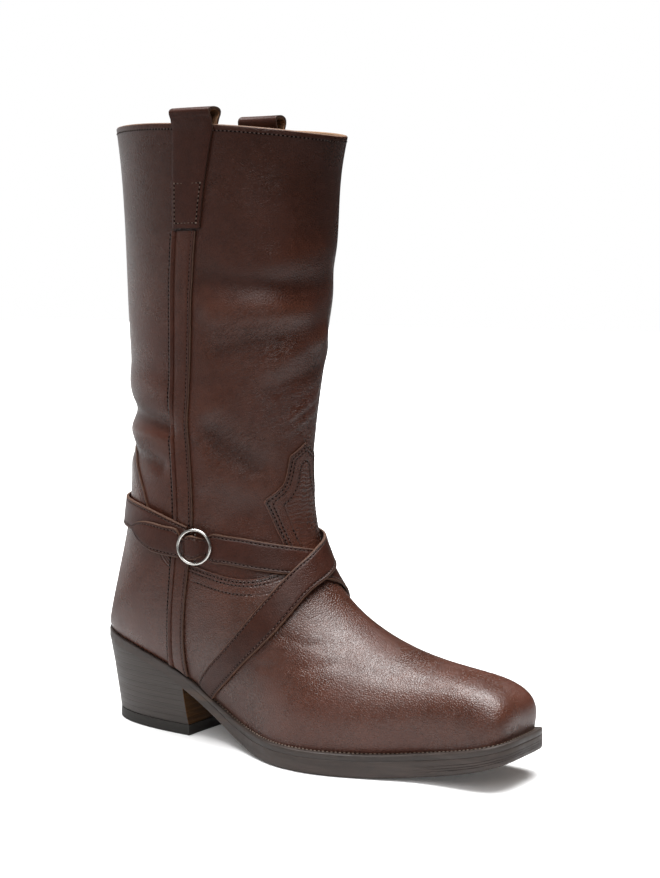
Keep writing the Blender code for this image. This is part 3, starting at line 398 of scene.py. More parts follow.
def find_on_form(angle, height):
    """Place and girth of the form at an angle round the ankle and a height, by repeated correction."""
    angle = np.asarray(angle, float)
    height = np.asarray(height, float)
    place = np.empty(len(angle))
    girth = np.empty(len(angle))
    for start in range(0, len(angle), SEARCH_PART):
        part = slice(start, start + SEARCH_PART)
        turn = wrap_degrees(SEARCH_ANGLE.ravel()[None, :] - angle[part, None])
        miss = turn ** 2 + (SEARCH_HEIGHT.ravel()[None, :] - height[part, None]) ** 2
        nearest = np.argmin(miss, axis=1)
        place[part] = SEARCH_PLACE.ravel()[nearest]
        girth[part] = SEARCH_GIRTH.ravel()[nearest]
    for _ in range(14):
        now = round_ankle(on_form(place, girth)[0])
        up = round_ankle(on_form(place + NUDGE_PLACE, girth)[0])
        side = round_ankle(on_form(place, girth + NUDGE_GIRTH)[0])
        a = wrap_degrees(up[0] - now[0]) / NUDGE_PLACE
        b = wrap_degrees(side[0] - now[0]) / NUDGE_GIRTH
        c = (up[1] - now[1]) / NUDGE_PLACE
        d = (side[1] - now[1]) / NUDGE_GIRTH
        det = a * d - b * c
        det = np.where(np.abs(det) < 1e-6, 1e-6, det)
        turn = wrap_degrees(angle - now[0])
        rise = height - now[1]
        place = np.clip(place + np.clip((d * turn - b * rise) / det, -5.0, 5.0), 0.0, COLLAR_PLACE - 0.5)
        girth = girth + np.clip((a * rise - c * turn) / det, -0.05, 0.05)
        girth = np.where(place >= HEEL_PLACE, (girth + 1.0) % 2.0 - 1.0, np.clip(girth, -0.998, 0.998))
    return place, girth


def moved_on_form(place, girth, move):
    """Place and girth after a step of the given 3-D length and direction along the surface."""
    target = on_form(place, girth)[0] + move
    for _ in range(5):
        now = on_form(place, girth)[0]
        ahead, behind = (on_form(place + nudge, girth)[0] for nudge in (NUDGE_PLACE, -NUDGE_PLACE))
        along = (ahead - behind) / (2.0 * NUDGE_PLACE)
        ahead, behind = (on_form(place, girth + nudge)[0] for nudge in (NUDGE_GIRTH, -NUDGE_GIRTH))
        around = (ahead - behind) / (2.0 * NUDGE_GIRTH)
        rest = target - now
        aa = (along * along).sum(-1)
        ab = (along * around).sum(-1)
        bb = (around * around).sum(-1)
        ar = (along * rest).sum(-1)
        br = (around * rest).sum(-1)
        det = np.maximum(aa * bb - ab * ab, 1e-9)
        place = place + np.clip((bb * ar - ab * br) / det, -6.0, 6.0)
        girth = girth + np.clip((aa * br - ab * ar) / det, -0.08, 0.08)
    return place, girth


# Meshes from arrays

def grid_quads(rows, columns):
    """Faces of a net of rows and columns as point numbers."""
    first = (np.arange(rows - 1)[:, None] * columns + np.arange(columns - 1)[None, :]).ravel()
    return np.stack((first, first + 1, first + columns + 1, first + columns), axis=1)


def welded(points, quads):
    """Points with coinciding ones joined, faces without repeats, and the point each came from."""
    keys = np.round(points, 3)
    _, first, number = np.unique(keys, axis=0, return_index=True, return_inverse=True)
    number = number.reshape(-1)
    quads = number[quads]
    used = np.unique(quads)
    slot = np.full(len(first), -1)
    slot[used] = np.arange(len(used))
    return points[first[used]], slot[quads], first[used]


def face_lists(quads, marks):
    """Four-sided and three-sided faces as lists; faces with under three corners are dropped."""
    faces = []
    kept = []
    same = (quads == np.roll(quads, -1, axis=1)).any(axis=1) | (quads[:, 0] == quads[:, 2])
    for face, mark, odd in zip(quads.tolist(), marks.tolist(), same.tolist()):
        if odd:
            face = list(dict.fromkeys(face))
            if len(face) < 3:
                continue
        faces.append(face)
        kept.append(mark)
    return faces, kept


def add_piece(name, points, quads, looks, nodes=(), marks=None, values=None, sharp=48.0):
    """Smooth mesh piece on the root body; marks choose the look of each face, values are attributes."""
    marks = np.zeros(len(quads), int) if marks is None else marks
    points, quads, source = welded(np.asarray(points, float), np.asarray(quads))
    faces, kept = face_lists(quads, marks)
    mesh = bpy.data.meshes.new(name)
    mesh.from_pydata((points * MM).tolist(), [], faces)
    mesh.update()
    for look in looks:
        mesh.materials.append(look)
    mesh.polygons.foreach_set("material_index", kept)
    mesh.polygons.foreach_set("use_smooth", [True] * len(faces))
    mesh.set_sharp_from_angle(angle=math.radians(sharp))
    for key, value in (values or {}).items():
        layer = mesh.attributes.new(key, "FLOAT", "POINT")
        layer.data.foreach_set("value", np.asarray(value, np.float32).ravel()[source])
    piece = bpy.data.objects.new(name, mesh)
    bpy.context.scene.collection.objects.link(piece)
    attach(piece, "root")
    if nodes:
        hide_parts(*nodes)
    return piece


def open_edges(quads, count):
    """Directed edges of a face plan that no other face shares."""
    start = quads.ravel()
    end = np.roll(quads, -1, axis=1).ravel()
    real = start != end
    start, end = start[real], end[real]
    alone = ~np.isin(start * count + end, end * count + start)
    return start[alone], end[alone]


def stacked(quads, layers):
    """Closed solid from layers of points that share one face plan, the first one outermost.

    Gives points, faces and marks: 0 for the outer cap, 1 for the walls, 2 for the inner cap.
    """
    count = len(layers[0])
    last = (len(layers) - 1) * count
    start, end = open_edges(quads, count)
    walls = []
    for level in range(len(layers) - 1):
        high = level * count
        low = high + count
        walls.append(np.stack((end + high, start + high, start + low, end + low), axis=1))
    faces = np.concatenate([quads] + walls + [quads[:, ::-1] + last])
    marks = np.concatenate((np.zeros(len(quads), int), np.ones(sum(map(len, walls)), int),
                            np.full(len(quads), 2)))
    return np.concatenate(layers), faces, marks


def lofted(loops):
    """Faces between closed loops of equal length, one after another."""
    count = len(loops[0])
    first = np.arange(count)
    after = (first + 1) % count
    quads = []
    for level in range(len(loops) - 1):
        low = level * count
        quads.append(np.stack((first + low, after + low, after + low + count, first + low + count), axis=1))
    return np.concatenate(loops), np.concatenate(quads)


# Overlays cut from the form

# spacing of the points on a panel's edge, where a degree counts as so many millimetres
EDGE_STEP = 1.5
EDGE_DEGREE = 1.2


def smooth_line(runs):
    """Line through runs of degrees and heights: each run bends smoothly and the runs meet at corners."""
    parts = []
    for run in runs:
        run = np.asarray(run, float)
        length = np.hypot(np.diff(run[:, 0]) * EDGE_DEGREE, np.diff(run[:, 1]))
        at = np.concatenate(([0.0], np.cumsum(length)))
        fine = np.linspace(0.0, at[-1], max(2, int(at[-1] / EDGE_STEP) + 1))
        if len(run) > 2:
            run = np.column_stack([spline(at, run[:, i], fine) for i in (0, 1)])
        else:
            run = np.column_stack([np.interp(fine, at, run[:, i]) for i in (0, 1)])
        parts.append(run[1:] if parts else run)
    return np.concatenate(parts)


def line_gap(line, angle, height, reach):
    """Distance on the form from a line of degrees and heights: the nearest of its straight runs."""
    nearest = np.full(angle.shape, 1e9)
    scale = np.radians(1.0) * reach
    for (a0, z0), (a1, z1) in zip(line[:-1], line[1:]):
        ax = (angle - a0) * scale
        az = height - z0
        bx = (a1 - a0) * scale
        bz = z1 - z0
        share = np.clip((ax * bx + az * bz) / np.maximum(bx * bx + bz * bz, 1e-9), 0.0, 1.0)
        nearest = np.minimum(nearest, (ax - share * bx) ** 2 + (az - share * bz) ** 2)
    return np.sqrt(nearest)


def outline_gap(outline, angle, height, reach):
    """Distance on the form from a closed outline, plus inside and minus outside."""
    ring = np.concatenate((outline, outline[:1]))
    inside = np.zeros(angle.shape, bool)
    for (a0, z0), (a1, z1) in zip(ring[:-1], ring[1:]):
        if z0 != z1:
            crossing = (z0 > height) != (z1 > height)
            inside ^= crossing & (angle < a0 + (a1 - a0) * (height - z0) / (z1 - z0))
    return np.where(inside, 1.0, -1.0) * line_gap(ring, angle, height, reach)


def drawn_to_outline(place, girth, gap):
    """Net with the points beside the outline moved onto it, each along a net line that crosses it."""
    best = np.full(gap.shape, 2.0)
    new_place = place.copy()
    new_girth = girth.copy()
    ahead = np.s_[1:, :], np.s_[:, 1:]
    behind = np.s_[:-1, :], np.s_[:, :-1]
    for one, two in zip(behind, ahead):
        crossing = (gap[one] > 0) != (gap[two] > 0)
        share = np.where(crossing, gap[one] / np.where(crossing, gap[one] - gap[two], 1.0), 2.0)
        for here, there, move in ((one, two, share), (two, one, 1.0 - share)):
            better = crossing & (move <= 0.5) & (move < best[here])
            best[here] = np.where(better, move, best[here])
            moved_place = place[here] + (place[there] - place[here]) * move
            moved_girth = girth[here] + (girth[there] - girth[here]) * move
            new_place[here] = np.where(better, moved_place, new_place[here])
            new_girth[here] = np.where(better, moved_girth, new_girth[here])
    return new_place, new_girth, np.where(best < 1.0, 0.0, gap)


def inside_quads(gap):
    """Faces of a net that lie inside the outline; a face cut at one corner becomes a triangle."""
    quads = grid_quads(*gap.shape)
    corners = gap.ravel()[quads]
    outside = corners < 0
    count = outside.sum(axis=1)
    some = (corners > 0).any(axis=1)
    kept = [quads[(count == 0) & some]]
    for k in range(4):
        three = np.delete(quads[(count == 1) & outside[:, k] & some], k, axis=1)
        kept.append(np.column_stack((three, three[:, 2])))
    return np.concatenate(kept)


def panel_angles(place, girth, full_turn):
    """Degrees round the ankle line, height and distance; panels over the back count on past 180."""
    angle, height, reach = round_ankle(on_form(place, girth)[0])
    return angle % 360.0 if full_turn else angle, height, reach


# net of the panels: step along the form and columns round it; drop and reach of their softened edge
PANEL_STEP = 1.45
PANEL_COLUMNS = 189
PANEL_EDGE_DROP = 0.3
PANEL_EDGE_REACH = 0.8


def add_panel(name, outline, sewn_line, full_turn, looks, node):
    """Overlay on the form within an outline, with a softened top edge and a cut side.

    Its edge gap is the distance from the sewn line, in millimetres.
    """
    places = np.linspace(0.0, PANEL_LAST_PLACE, int(PANEL_LAST_PLACE / PANEL_STEP))
    place, girth = np.meshgrid(places, np.linspace(-1.0, 1.0, PANEL_COLUMNS), indexing="ij")
    gap = outline_gap(outline, *panel_angles(place, girth, full_turn))
    place, girth, gap = drawn_to_outline(place, girth, gap)
    plan = on_form(place, girth)[0].reshape(-1, 3)
    _, quads, source = welded(plan, inside_quads(gap))
    place, girth = (value.ravel()[source] for value in (place, girth))
    gap = line_gap(sewn_line, *panel_angles(place, girth, full_turn))
    top = PANEL_TOP - PANEL_EDGE_DROP * np.exp(-(gap / PANEL_EDGE_REACH) ** 2)
    layers = [off_sole(on_form(place, girth, lift)[0]) for lift in (top, np.full(len(place), PANEL_LOW))]
    points, faces, marks = stacked(quads, layers)
    return add_piece(name, points, faces, looks, (node,), marks, {"edge_gap": np.tile(gap, 2)})


def mirrored_line(line):
    """Line continued by its own mirror on the inner side, from the outer end to the inner end."""
    back = line[-2::-1] * np.array((-1.0, 1.0))
    return np.concatenate((line, back))


# edges of the vamp on the outer side: the scooped side edge, then the three edges of the flame
VAMP_RUNS = (
    ((-86.0, 101.4), (-78.0, 100.4), (-67.0, 98.8), (-53.0, 96.6), (-41.0, 95.3), (-33.0, 95.6),
     (-25.0, 97.6), (-19.0, 100.4), (-15.4, 104.0)),
    ((-15.4, 104.0), (-15.2, 112.4), (-17.4, 119.7), (-21.6, 130.8), (-25.4, 138.6)),
    ((-25.4, 138.6), (-19.2, 143.2), (-14.4, 148.2), (-12.4, 155.2), (-11.4, 163.0)),
    ((-11.4, 163.0), (0.0, 170.0)),
)
# upper edge of the counter from the strip to the point at the back, inner side
COUNTER_RUN = ((87.4, 100.6), (96.0, 101.2), (104.0, 102.4), (112.0, 110.6), (120.0, 121.5), (129.0, 131.0),
               (133.0, 137.8), (138.0, 145.4), (142.5, 152.6), (148.0, 158.0), (158.0, 162.5),
               (170.0, 165.0), (180.0, 166.0))

# joint of the two panels under the side strip, from the floor up
PANEL_JOINT = np.array(((117.0, -20.0), (112.0, 30.0), (105.0, 50.0), (98.0, 73.0)))
JOINT_GAP = 1.4

VAMP_LINE = mirrored_line(smooth_line(VAMP_RUNS))
VAMP_OUTLINE = np.concatenate((PANEL_JOINT * (-1.0, 1.0), VAMP_LINE, PANEL_JOINT[::-1]))
counter_half = smooth_line((COUNTER_RUN,))
COUNTER_LINE = np.concatenate((counter_half, (counter_half * (-1.0, 1.0) + (360.0, 0.0))[-2::-1]))
counter_joint = PANEL_JOINT + (JOINT_GAP, 0.0)
inner_joint = (counter_joint * (-1.0, 1.0) + (360.0, 0.0))[::-1]
COUNTER_OUTLINE = np.concatenate((counter_joint, COUNTER_LINE, inner_joint))


# net of the upper's shell; steps round its rim, how many of them show as cut leather, and its rise
SHELL_ROWS = 251
SHELL_COLUMNS = 181
RIM_STEPS = 7
RIM_CUT_STEPS = 3
RIM_RISE = 0.9


def add_upper(looks):
    """Shell of the upper: creased outside, rounded cut rim, lining inside, closed along the sole.

    Its swell is the height of the creases, in millimetres.
    """
    places = np.linspace(0.0, COLLAR_PLACE, SHELL_ROWS)
    girths = np.linspace(-1.0, 1.0, SHELL_COLUMNS)
    place, girth = np.meshgrid(places, girths, indexing="ij")
    rows = [off_sole(on_form(place, girth)[0])]
    for turn in np.linspace(0.0, math.pi, RIM_STEPS)[1:-1]:
        lift = np.full(len(girths), -WALL / 2 * (1.0 - math.cos(turn)))
        rim = on_form(np.full(len(girths), COLLAR_PLACE), girths, lift)[0]
        rim[:, 2] += RIM_RISE * math.sin(turn)
        rows.append(rim[None])
    inside = off_sole(on_form(place[::-1], girth[::-1], np.full(place.shape, -WALL))[0])
    rows.append(inside)
    net = np.concatenate(rows)
    net = np.concatenate((net, net[:1]))
    count, columns = net.shape[:2]
    quads = grid_quads(count, columns)
    row = np.repeat(np.arange(count - 1), columns - 1)
    rim_first = len(places)
    look = np.where(row < rim_first, 0, np.where(row < rim_first + RIM_CUT_STEPS, 2, 1))
    outer = np.flatnonzero(places[:-1] < HEEL_PLACE)
    inner = count - 2 - outer
    edges = []
    for column, turned in ((0, False), (columns - 1, True)):
        strip = np.stack((outer, outer + 1, inner - 1, inner), axis=1) * columns + column
        edges.append(strip[:, ::-1] if turned else strip)
    quads = np.concatenate([quads] + edges)
    marks = np.concatenate((look, np.ones(2 * len(outer), int)))
    points = net.reshape(-1, 3)
    # the swell also sets the painted shade in the hollows and the painted highlight on the swells of the
    # shaft leather
    values = {"swell": crease_swell(points)}
    return add_piece("upper_shell", points, quads, looks, ("upper",), marks, values)


# Straps and strips

# a degree round the ankle counts as so many millimetres when a band's rows are spaced
BAND_DEGREE = 0.65


def dense_rows(table, step):
    """More rows between the rows of a table, about a step apart, on a smooth curve through them."""
    table = np.asarray(table, float)
    length = np.hypot(np.diff(table[:, 0]) * BAND_DEGREE, np.diff(table[:, 1]))
    run = np.concatenate(([0.0], np.cumsum(np.maximum(length, 0.01))))
    at = np.linspace(0.0, run[-1], int(run[-1] / step) + 1)
    return np.column_stack([spline(run, table[:, i], at) for i in range(table.shape[1])])


def across_band(rows, shares):
    """Place and girth of a band's points at shares of its width."""
    angle = rows[:, 0:1] * (1.0 - shares) + rows[:, 2:3] * shares
    height = rows[:, 1:2] * (1.0 - shares) + rows[:, 3:4] * shares
    place, girth = find_on_form(angle.ravel(), height.ravel())
    return place.reshape(angle.shape), girth.reshape(angle.shape)


def band_width(rows):
    """Width of a band at each of its rows."""
    place, girth = across_band(rows, np.array((0.0, 1.0)))
    edge = on_form(place, girth)[0]
    return np.linalg.norm(edge[:, 1] - edge[:, 0], axis=1)


def closed_tube(rows):
    """Faces of rows of closed profiles, with both ends drawn to a point."""
    ends = [np.repeat(rows[i].mean(axis=0)[None], rows.shape[1], axis=0) for i in (0, -1)]
    net = np.concatenate((ends[0][None], rows, ends[1][None]))
    net = np.concatenate((net, net[:, :1]), axis=1)
    return net, grid_quads(*net.shape[:2])


def add_band(name, rows, profile, edges, looks, node):
    """Band on the form: a profile of share across and height over the underside, carried along its rows.

    The lift of the underside comes with each row. The two sides, and the rounded runs beside them as
    counted by each edge, take the second look.
    """
    shares, heights = np.array(profile).T
    low_shares = np.linspace(1.0, 0.0, 5)
    place, girth = across_band(rows, np.concatenate((shares, low_shares)))
    lift = rows[:, 4:5] + np.concatenate((heights, np.zeros(len(low_shares))))
    points, normals = on_form(place, girth, lift)
    points = off_sole(points)
    net, quads = closed_tube(points)
    columns = net.shape[1] - 1
    top = len(shares)
    kind = np.where(np.arange(columns) < top - 1, 0, 2)
    kind[top - 1 - edges[1]:top] = 1
    kind[columns - 1] = 1
    kind[:edges[0]] = 1
    marks = np.tile(kind, net.shape[0] - 1)
    middle = top // 2
    side = points[1, middle + 1] - points[1, middle]
    ahead = points[2, middle] - points[1, middle]
    if np.dot(np.cross(side, ahead), normals[1, middle]) < 0:
        quads = quads[:, ::-1]
    width = band_width(rows)[:, None]
    gap = width * np.minimum(shares, 1.0 - shares)
    gap = np.concatenate((gap, np.zeros((len(rows), len(low_shares)))), axis=1)
    gap = np.concatenate((gap[:1] * 0.0, gap, gap[:1] * 0.0))
    gap = np.concatenate((gap, gap[:, :1]), axis=1)
    return add_piece(name, net.reshape(-1, 3), quads, looks, (node,), marks, {"edge_gap": gap})


# bands: angle and height of one edge, angle and height of the other edge, lift of the underside
# side strip of the outer side, from the sole up; its first edge is the back one
SIDE_STRIP = (
    (-124.0, 42.4, -98.5, 35.6, 1.9), (-116.0, 54.0, -95.0, 49.5, 1.9), (-108.6, 73.3, -89.6, 73.3, 1.9),
    (-105.0, 88.0, -86.0, 88.0, 1.9), (-103.2, 98.0, -83.8, 98.0, 1.9), (-102.3, 104.0, -82.7, 104.0, 1.7),
    (-101.4, 110.0, -81.6, 110.0, 0.7), (-99.5, 126.0, -79.4, 126.0, 0.5), (-98.8, 150.0, -78.9, 150.0, 0.5),
    (-98.6, 180.0, -79.3, 180.0, 0.5), (-95.0, 215.0, -75.4, 215.0, 0.5), (-92.0, 250.0, -72.4, 250.0, 0.5),
    (-87.8, 285.6, -67.8, 285.6, 0.5),
)
# strap that starts at the outer side of the sole and lies on top at the instep
STRAP_OVER = (
    (-79.0, 34.0, -59.5, 26.0, 1.9), (-62.0, 46.0, -48.0, 37.5, 1.9), (-51.0, 55.5, -41.5, 46.5, 1.9),
    (-37.0, 73.0, -30.0, 63.0, 1.9), (-22.0, 92.0, -18.0, 79.8, 3.0), (-10.0, 103.6, -7.0, 90.2, 4.2),
    (-5.0, 107.2, -2.0, 92.7, 4.3), (0.0, 110.6, 3.0, 94.9, 4.3), (6.0, 113.3, 8.6, 97.2, 4.2),
    (12.0, 115.6, 14.0, 99.4, 3.8), (25.0, 118.0, 26.0, 101.8, 2.2), (41.0, 119.4, 42.0, 103.2, 1.9),
    (61.0, 121.0, 62.0, 104.8, 1.9), (78.0, 123.0, 78.0, 106.8, 2.4), (98.0, 126.0, 98.0, 109.6, 2.4),
    (112.0, 128.6, 112.0, 112.0, 2.2), (132.0, 131.6, 132.0, 114.8, 2.4), (155.0, 133.8, 155.0, 116.8, 2.5),
    (180.0, 134.6, 180.0, 117.6, 2.5), (207.0, 134.0, 207.0, 117.0, 2.5), (229.0, 132.0, 229.0, 115.4, 2.4),
    (247.0, 129.0, 247.0, 112.6, 2.2), (262.0, 125.8, 262.0, 110.6, 1.9), (276.0, 122.8, 276.0, 110.6, 1.9),
)
# strap that starts at the inner side of the sole, passes the ring and ends in a pointed tab
STRAP_UNDER = (
    (80.0, 34.5, 59.5, 26.0, 1.9), (62.0, 46.0, 48.0, 37.5, 1.9), (51.0, 55.5, 41.5, 46.5, 1.9),
    (37.0, 73.0, 30.0, 63.0, 1.9), (22.0, 92.0, 18.0, 79.8, 2.0), (10.0, 104.0, 7.5, 90.0, 2.1),
    (5.0, 107.2, 2.8, 92.2, 2.1), (0.0, 109.6, -2.0, 94.0, 2.1), (-5.4, 111.2, -7.0, 95.5, 2.1),
    (-10.7, 112.6, -12.0, 96.8, 2.0), (-23.4, 115.5, -24.5, 99.3, 1.7), (-40.0, 118.0, -41.0, 101.8, 0.8),
    (-52.0, 118.9, -52.4, 102.8, 0.7), (-60.0, 119.3, -60.3, 103.3, 0.7), (-63.0, 118.4, -63.0, 104.8, 0.8),
    (-66.0, 116.8, -66.0, 106.8, 2.2), (-69.0, 117.6, -69.0, 106.0, 5.2), (-76.0, 119.2, -76.0, 104.6, 6.8),
    (-83.0, 117.4, -83.0, 106.4, 5.5), (-86.0, 115.8, -86.0, 107.6, 4.3), (-89.0, 117.0, -89.0, 106.8, 3.6),
    (-93.0, 121.2, -93.0, 105.2, 3.6), (-103.0, 122.4, -103.0, 105.7, 4.0),
    (-114.0, 123.3, -114.0, 106.4, 4.2), (-124.0, 123.6, -123.0, 108.0, 4.3),
    (-131.0, 122.8, -129.5, 110.8, 4.3), (-136.0, 121.0, -134.6, 114.2, 4.3),
    (-138.6, 119.2, -138.0, 117.4, 4.3),
)
# profiles: share across, height over the underside
STRAP_PROFILE = ((0.0, 0.90), (0.012, 1.22), (0.036, 1.40), (0.065, 1.44), (0.088, 1.36), (0.108, 1.16),
                 (0.128, 1.36), (0.2, 1.50), (0.35, 1.54), (0.5, 1.56), (0.65, 1.54), (0.8, 1.50),
                 (0.872, 1.36), (0.892, 1.16), (0.912, 1.36), (0.935, 1.44), (0.964, 1.40), (0.988, 1.22),
                 (1.0, 0.90))
STRIP_PROFILE = ((0.0, 0.40), (0.02, 1.10), (0.06, 1.72), (0.105, 1.92), (0.15, 1.70), (0.19, 1.05),
                 (0.212, 0.42), (0.236, 0.80), (0.3, 0.98), (0.5, 1.04), (0.75, 1.02), (0.83, 0.94),
                 (0.858, 0.74), (0.886, 0.94), (0.94, 1.02), (0.975, 0.94), (1.0, 0.6))
# rounded runs of a profile beside its first and last edge that show as cut leather
STRAP_EDGES = (2, 2)
STRIP_EDGES = (0, 1)

# lean of the inner strip, in degrees round the ankle line, and the heights it starts and ends at
INNER_LEAN = 27.5
INNER_LEAN_FROM = 150.0
INNER_LEAN_END = 285.6


def inner_strip(rows):
    """Rows of the side strip for the inner side, leaning back to its loop above the ankle."""
    out = rows.copy()
    for angle, height in ((0, 1), (2, 3)):
        share = (out[:, height] - INNER_LEAN_FROM) / (INNER_LEAN_END - INNER_LEAN_FROM)
        out[:, angle] = INNER_LEAN * np.clip(share, 0.0, 1.0) ** 1.5 - out[:, angle]
    return out


STRIP_ROWS = dense_rows(SIDE_STRIP, 1.7)
OVER_ROWS = dense_rows(STRAP_OVER, 1.5)
UNDER_ROWS = dense_rows(STRAP_UNDER, 1.1)

# Pull loops and ring

# outer pull loop: height, back x, front x, along the outside from the stitched end to the collar
LOOP_OUTSIDE = ((287.0, -55.0, -37.4), (300.0, -54.8, -35.6), (313.0, -54.4, -33.4), (327.0, -53.9, -30.6),
                (340.0, -53.4, -27.6))
# arch of a loop over the collar: height of its foot over the last row, its rise and half its gap
LOOP_FOOT = 3.6
OUTER_LOOP_RISE = 6.0
INNER_LOOP_RISE = 8.8
LOOP_SPREAD = 6.8
# the inner loop sits this much nearer the back
INNER_LOOP_BACK = 22.0
LOOP_INSIDE_END = 300.0
# softened long edges of a loop: drop, and reach as a share of its width
LOOP_EDGE_DROP = 0.35
LOOP_EDGE_REACH = 0.03
LOOP_ACROSS = np.array((0.0, 0.03, 0.1, 0.2, 0.4, 0.6, 0.8, 0.9, 0.97, 1.0))


def shaft_row(height, back, front, side, lift, shares=LOOP_ACROSS):
    """Points across the shaft at shares between two x at one height, lifted outward."""
    x = back + (front - back) * shares - (INNER_LOOP_BACK if side > 0 else 0.0)
    angle = side * np.degrees(np.arctan2(45.0, x - ANKLE_X))
    for _ in range(6):
        place, girth = find_on_form(angle, np.full(len(x), height))
        found = on_form(place, girth)[0]
        angle = side * np.degrees(np.arctan2(np.abs(found[:, 1]), x - ANKLE_X))
    return on_form(place, girth, np.full(len(x), lift))[0]


def add_loop(name, side, looks, node):
    """Pull loop: flat up the outside of the shaft, over the collar in an arch, down the inside."""
    table = np.array(LOOP_OUTSIDE)
    arch_rise = INNER_LOOP_RISE if side > 0 else OUTER_LOOP_RISE
    rim = shaft_row(*table[-1], side, 0.0)
    middle = rim - np.array((0.0, side * WALL / 2, 0.0))
    start = WALL / 2 + LOOP_GAP
    from_edge = np.minimum(LOOP_ACROSS, 1.0 - LOOP_ACROSS)
    edge_drop = LOOP_EDGE_DROP * np.exp(-(from_edge / LOOP_EDGE_REACH) ** 2)
    layers = []
    for extra in (LOOP_THICK, 0.0):
        rows = []
        for height in np.linspace(table[0, 0], table[-1, 0], 26):
            back, front = (np.interp(height, table[:, 0], table[:, i]) for i in (1, 2))
            lift = LOOP_GAP + extra - (edge_drop if extra else 0.0)
            rows.append(shaft_row(height, back, front, side, lift))
        for turn in np.linspace(0.0, math.pi, 33)[1:-1]:
            swell = math.sin(turn) ** 0.8
            out = (start + (LOOP_SPREAD - start) * swell + extra) * math.cos(turn)
            rise = LOOP_FOOT + (arch_rise + extra) * math.sin(turn) ** 0.7
            rows.append(middle + np.array((0.0, side * out, rise)))
        for height in np.linspace(table[-1, 0], LOOP_INSIDE_END, 20):
            rows.append(shaft_row(height, table[-1, 1], table[-1, 2], side, -WALL - LOOP_GAP - extra))
        layers.append(np.array(rows))
    quads = grid_quads(*layers[0].shape[:2])
    if side > 0:
        quads = quads[:, ::-1]
    points, faces, marks = stacked(quads, [layer.reshape(-1, 3) for layer in layers])
    return add_piece(name, points, faces, looks, (node,), marks)


# stitched box of the loops: lowest and highest row, and how far inside the edges it runs
BOX_LOW = 289.8
BOX_HIGH = 311.0
BOX_INSET = 1.9


def loop_box(side, pitch):
    """Stitch rows of the box on a pull loop: up its two sides, then across at the bottom and the top."""
    table = np.array(LOOP_OUTSIDE)
    lift = LOOP_GAP + LOOP_THICK
    heights = np.linspace(BOX_LOW, BOX_HIGH, int((BOX_HIGH - BOX_LOW) / pitch) + 1)
    outward = np.array((0.0, side, 0.0))
    ends = np.array((0.0, 1.0))
    sides = []
    for height in heights:
        back, front = (np.interp(height, table[:, 0], table[:, i]) for i in (1, 2))
        sides.append(shaft_row(height, back + BOX_INSET, front - BOX_INSET, side, lift, ends))
    sides = np.array(sides)
    lines = [sides[:, 0], sides[:, 1]]
    for i in (0, -1):
        count = int(np.linalg.norm(sides[i, 1] - sides[i, 0]) / pitch) + 1
        share = np.linspace(0.0, 1.0, count)[:, None]
        lines.append(sides[i, 0] * (1.0 - share) + sides[i, 1] * share)
    return [(line, np.gradient(line, axis=0), np.tile(outward, (len(line), 1))) for line in lines]


# ring buckle: place round the ankle, height, sizes, how it is turned and tipped, and its bar
RING_ANGLE = -76.0
RING_HEIGHT = 111.8
RING_RADIUS = 9.4
RING_WIRE = 0.9
RING_LIFT = 5.5
RING_TURN = 10.5
RING_TIP = 0.03
RING_BAR_SET = 2.0
RING_BAR_WIRE = 0.45
RING_STEPS = 97
WIRE_STEPS = 19


def add_ring(look):
    """Round buckle: a wire ring and an upright bar across its middle, set back between its ends."""
    place, girth = find_on_form(np.array((RING_ANGLE,)), np.array((RING_HEIGHT,)))
    centre, normal = (value[0] for value in on_form(place, girth))
    turn = math.radians(RING_TURN)
    facing = np.array((normal[0] * math.cos(turn) - normal[1] * math.sin(turn),
                       normal[0] * math.sin(turn) + normal[1] * math.cos(turn), RING_TIP))
    facing /= np.linalg.norm(facing)
    centre = centre + facing * RING_LIFT
    along = np.cross((0.0, 0.0, 1.0), facing)
    along /= np.linalg.norm(along)
    upright = np.cross(facing, along)
    a = np.linspace(0.0, 2.0 * math.pi, RING_STEPS)[:, None, None]
    b = np.linspace(0.0, 2.0 * math.pi, WIRE_STEPS)[None, :, None]
    spoke = along * np.cos(a) + upright * np.sin(a)
    rim = centre + spoke * (RING_RADIUS + RING_WIRE * np.cos(b)) + facing * RING_WIRE * np.sin(b)
    ends = np.linspace(-1.0, 1.0, 33)[:, None, None]
    bar = centre + upright * ends * RING_RADIUS + (along * np.cos(b) + facing * np.sin(b)) * RING_BAR_WIRE
    bar = bar - facing * (RING_BAR_SET * (1.0 - ends ** 8))
    bar_net, bar_quads = closed_tube(bar[:, :-1])
    points = np.concatenate((rim.reshape(-1, 3), bar_net.reshape(-1, 3)))
    bar_quads = bar_quads[:, ::-1] + RING_STEPS * WIRE_STEPS
    quads = np.concatenate((grid_quads(RING_STEPS, WIRE_STEPS), bar_quads))
    return add_piece("ring", points, quads, (look,), ("ring_buckle",), sharp=80.0)


# Sole and heel

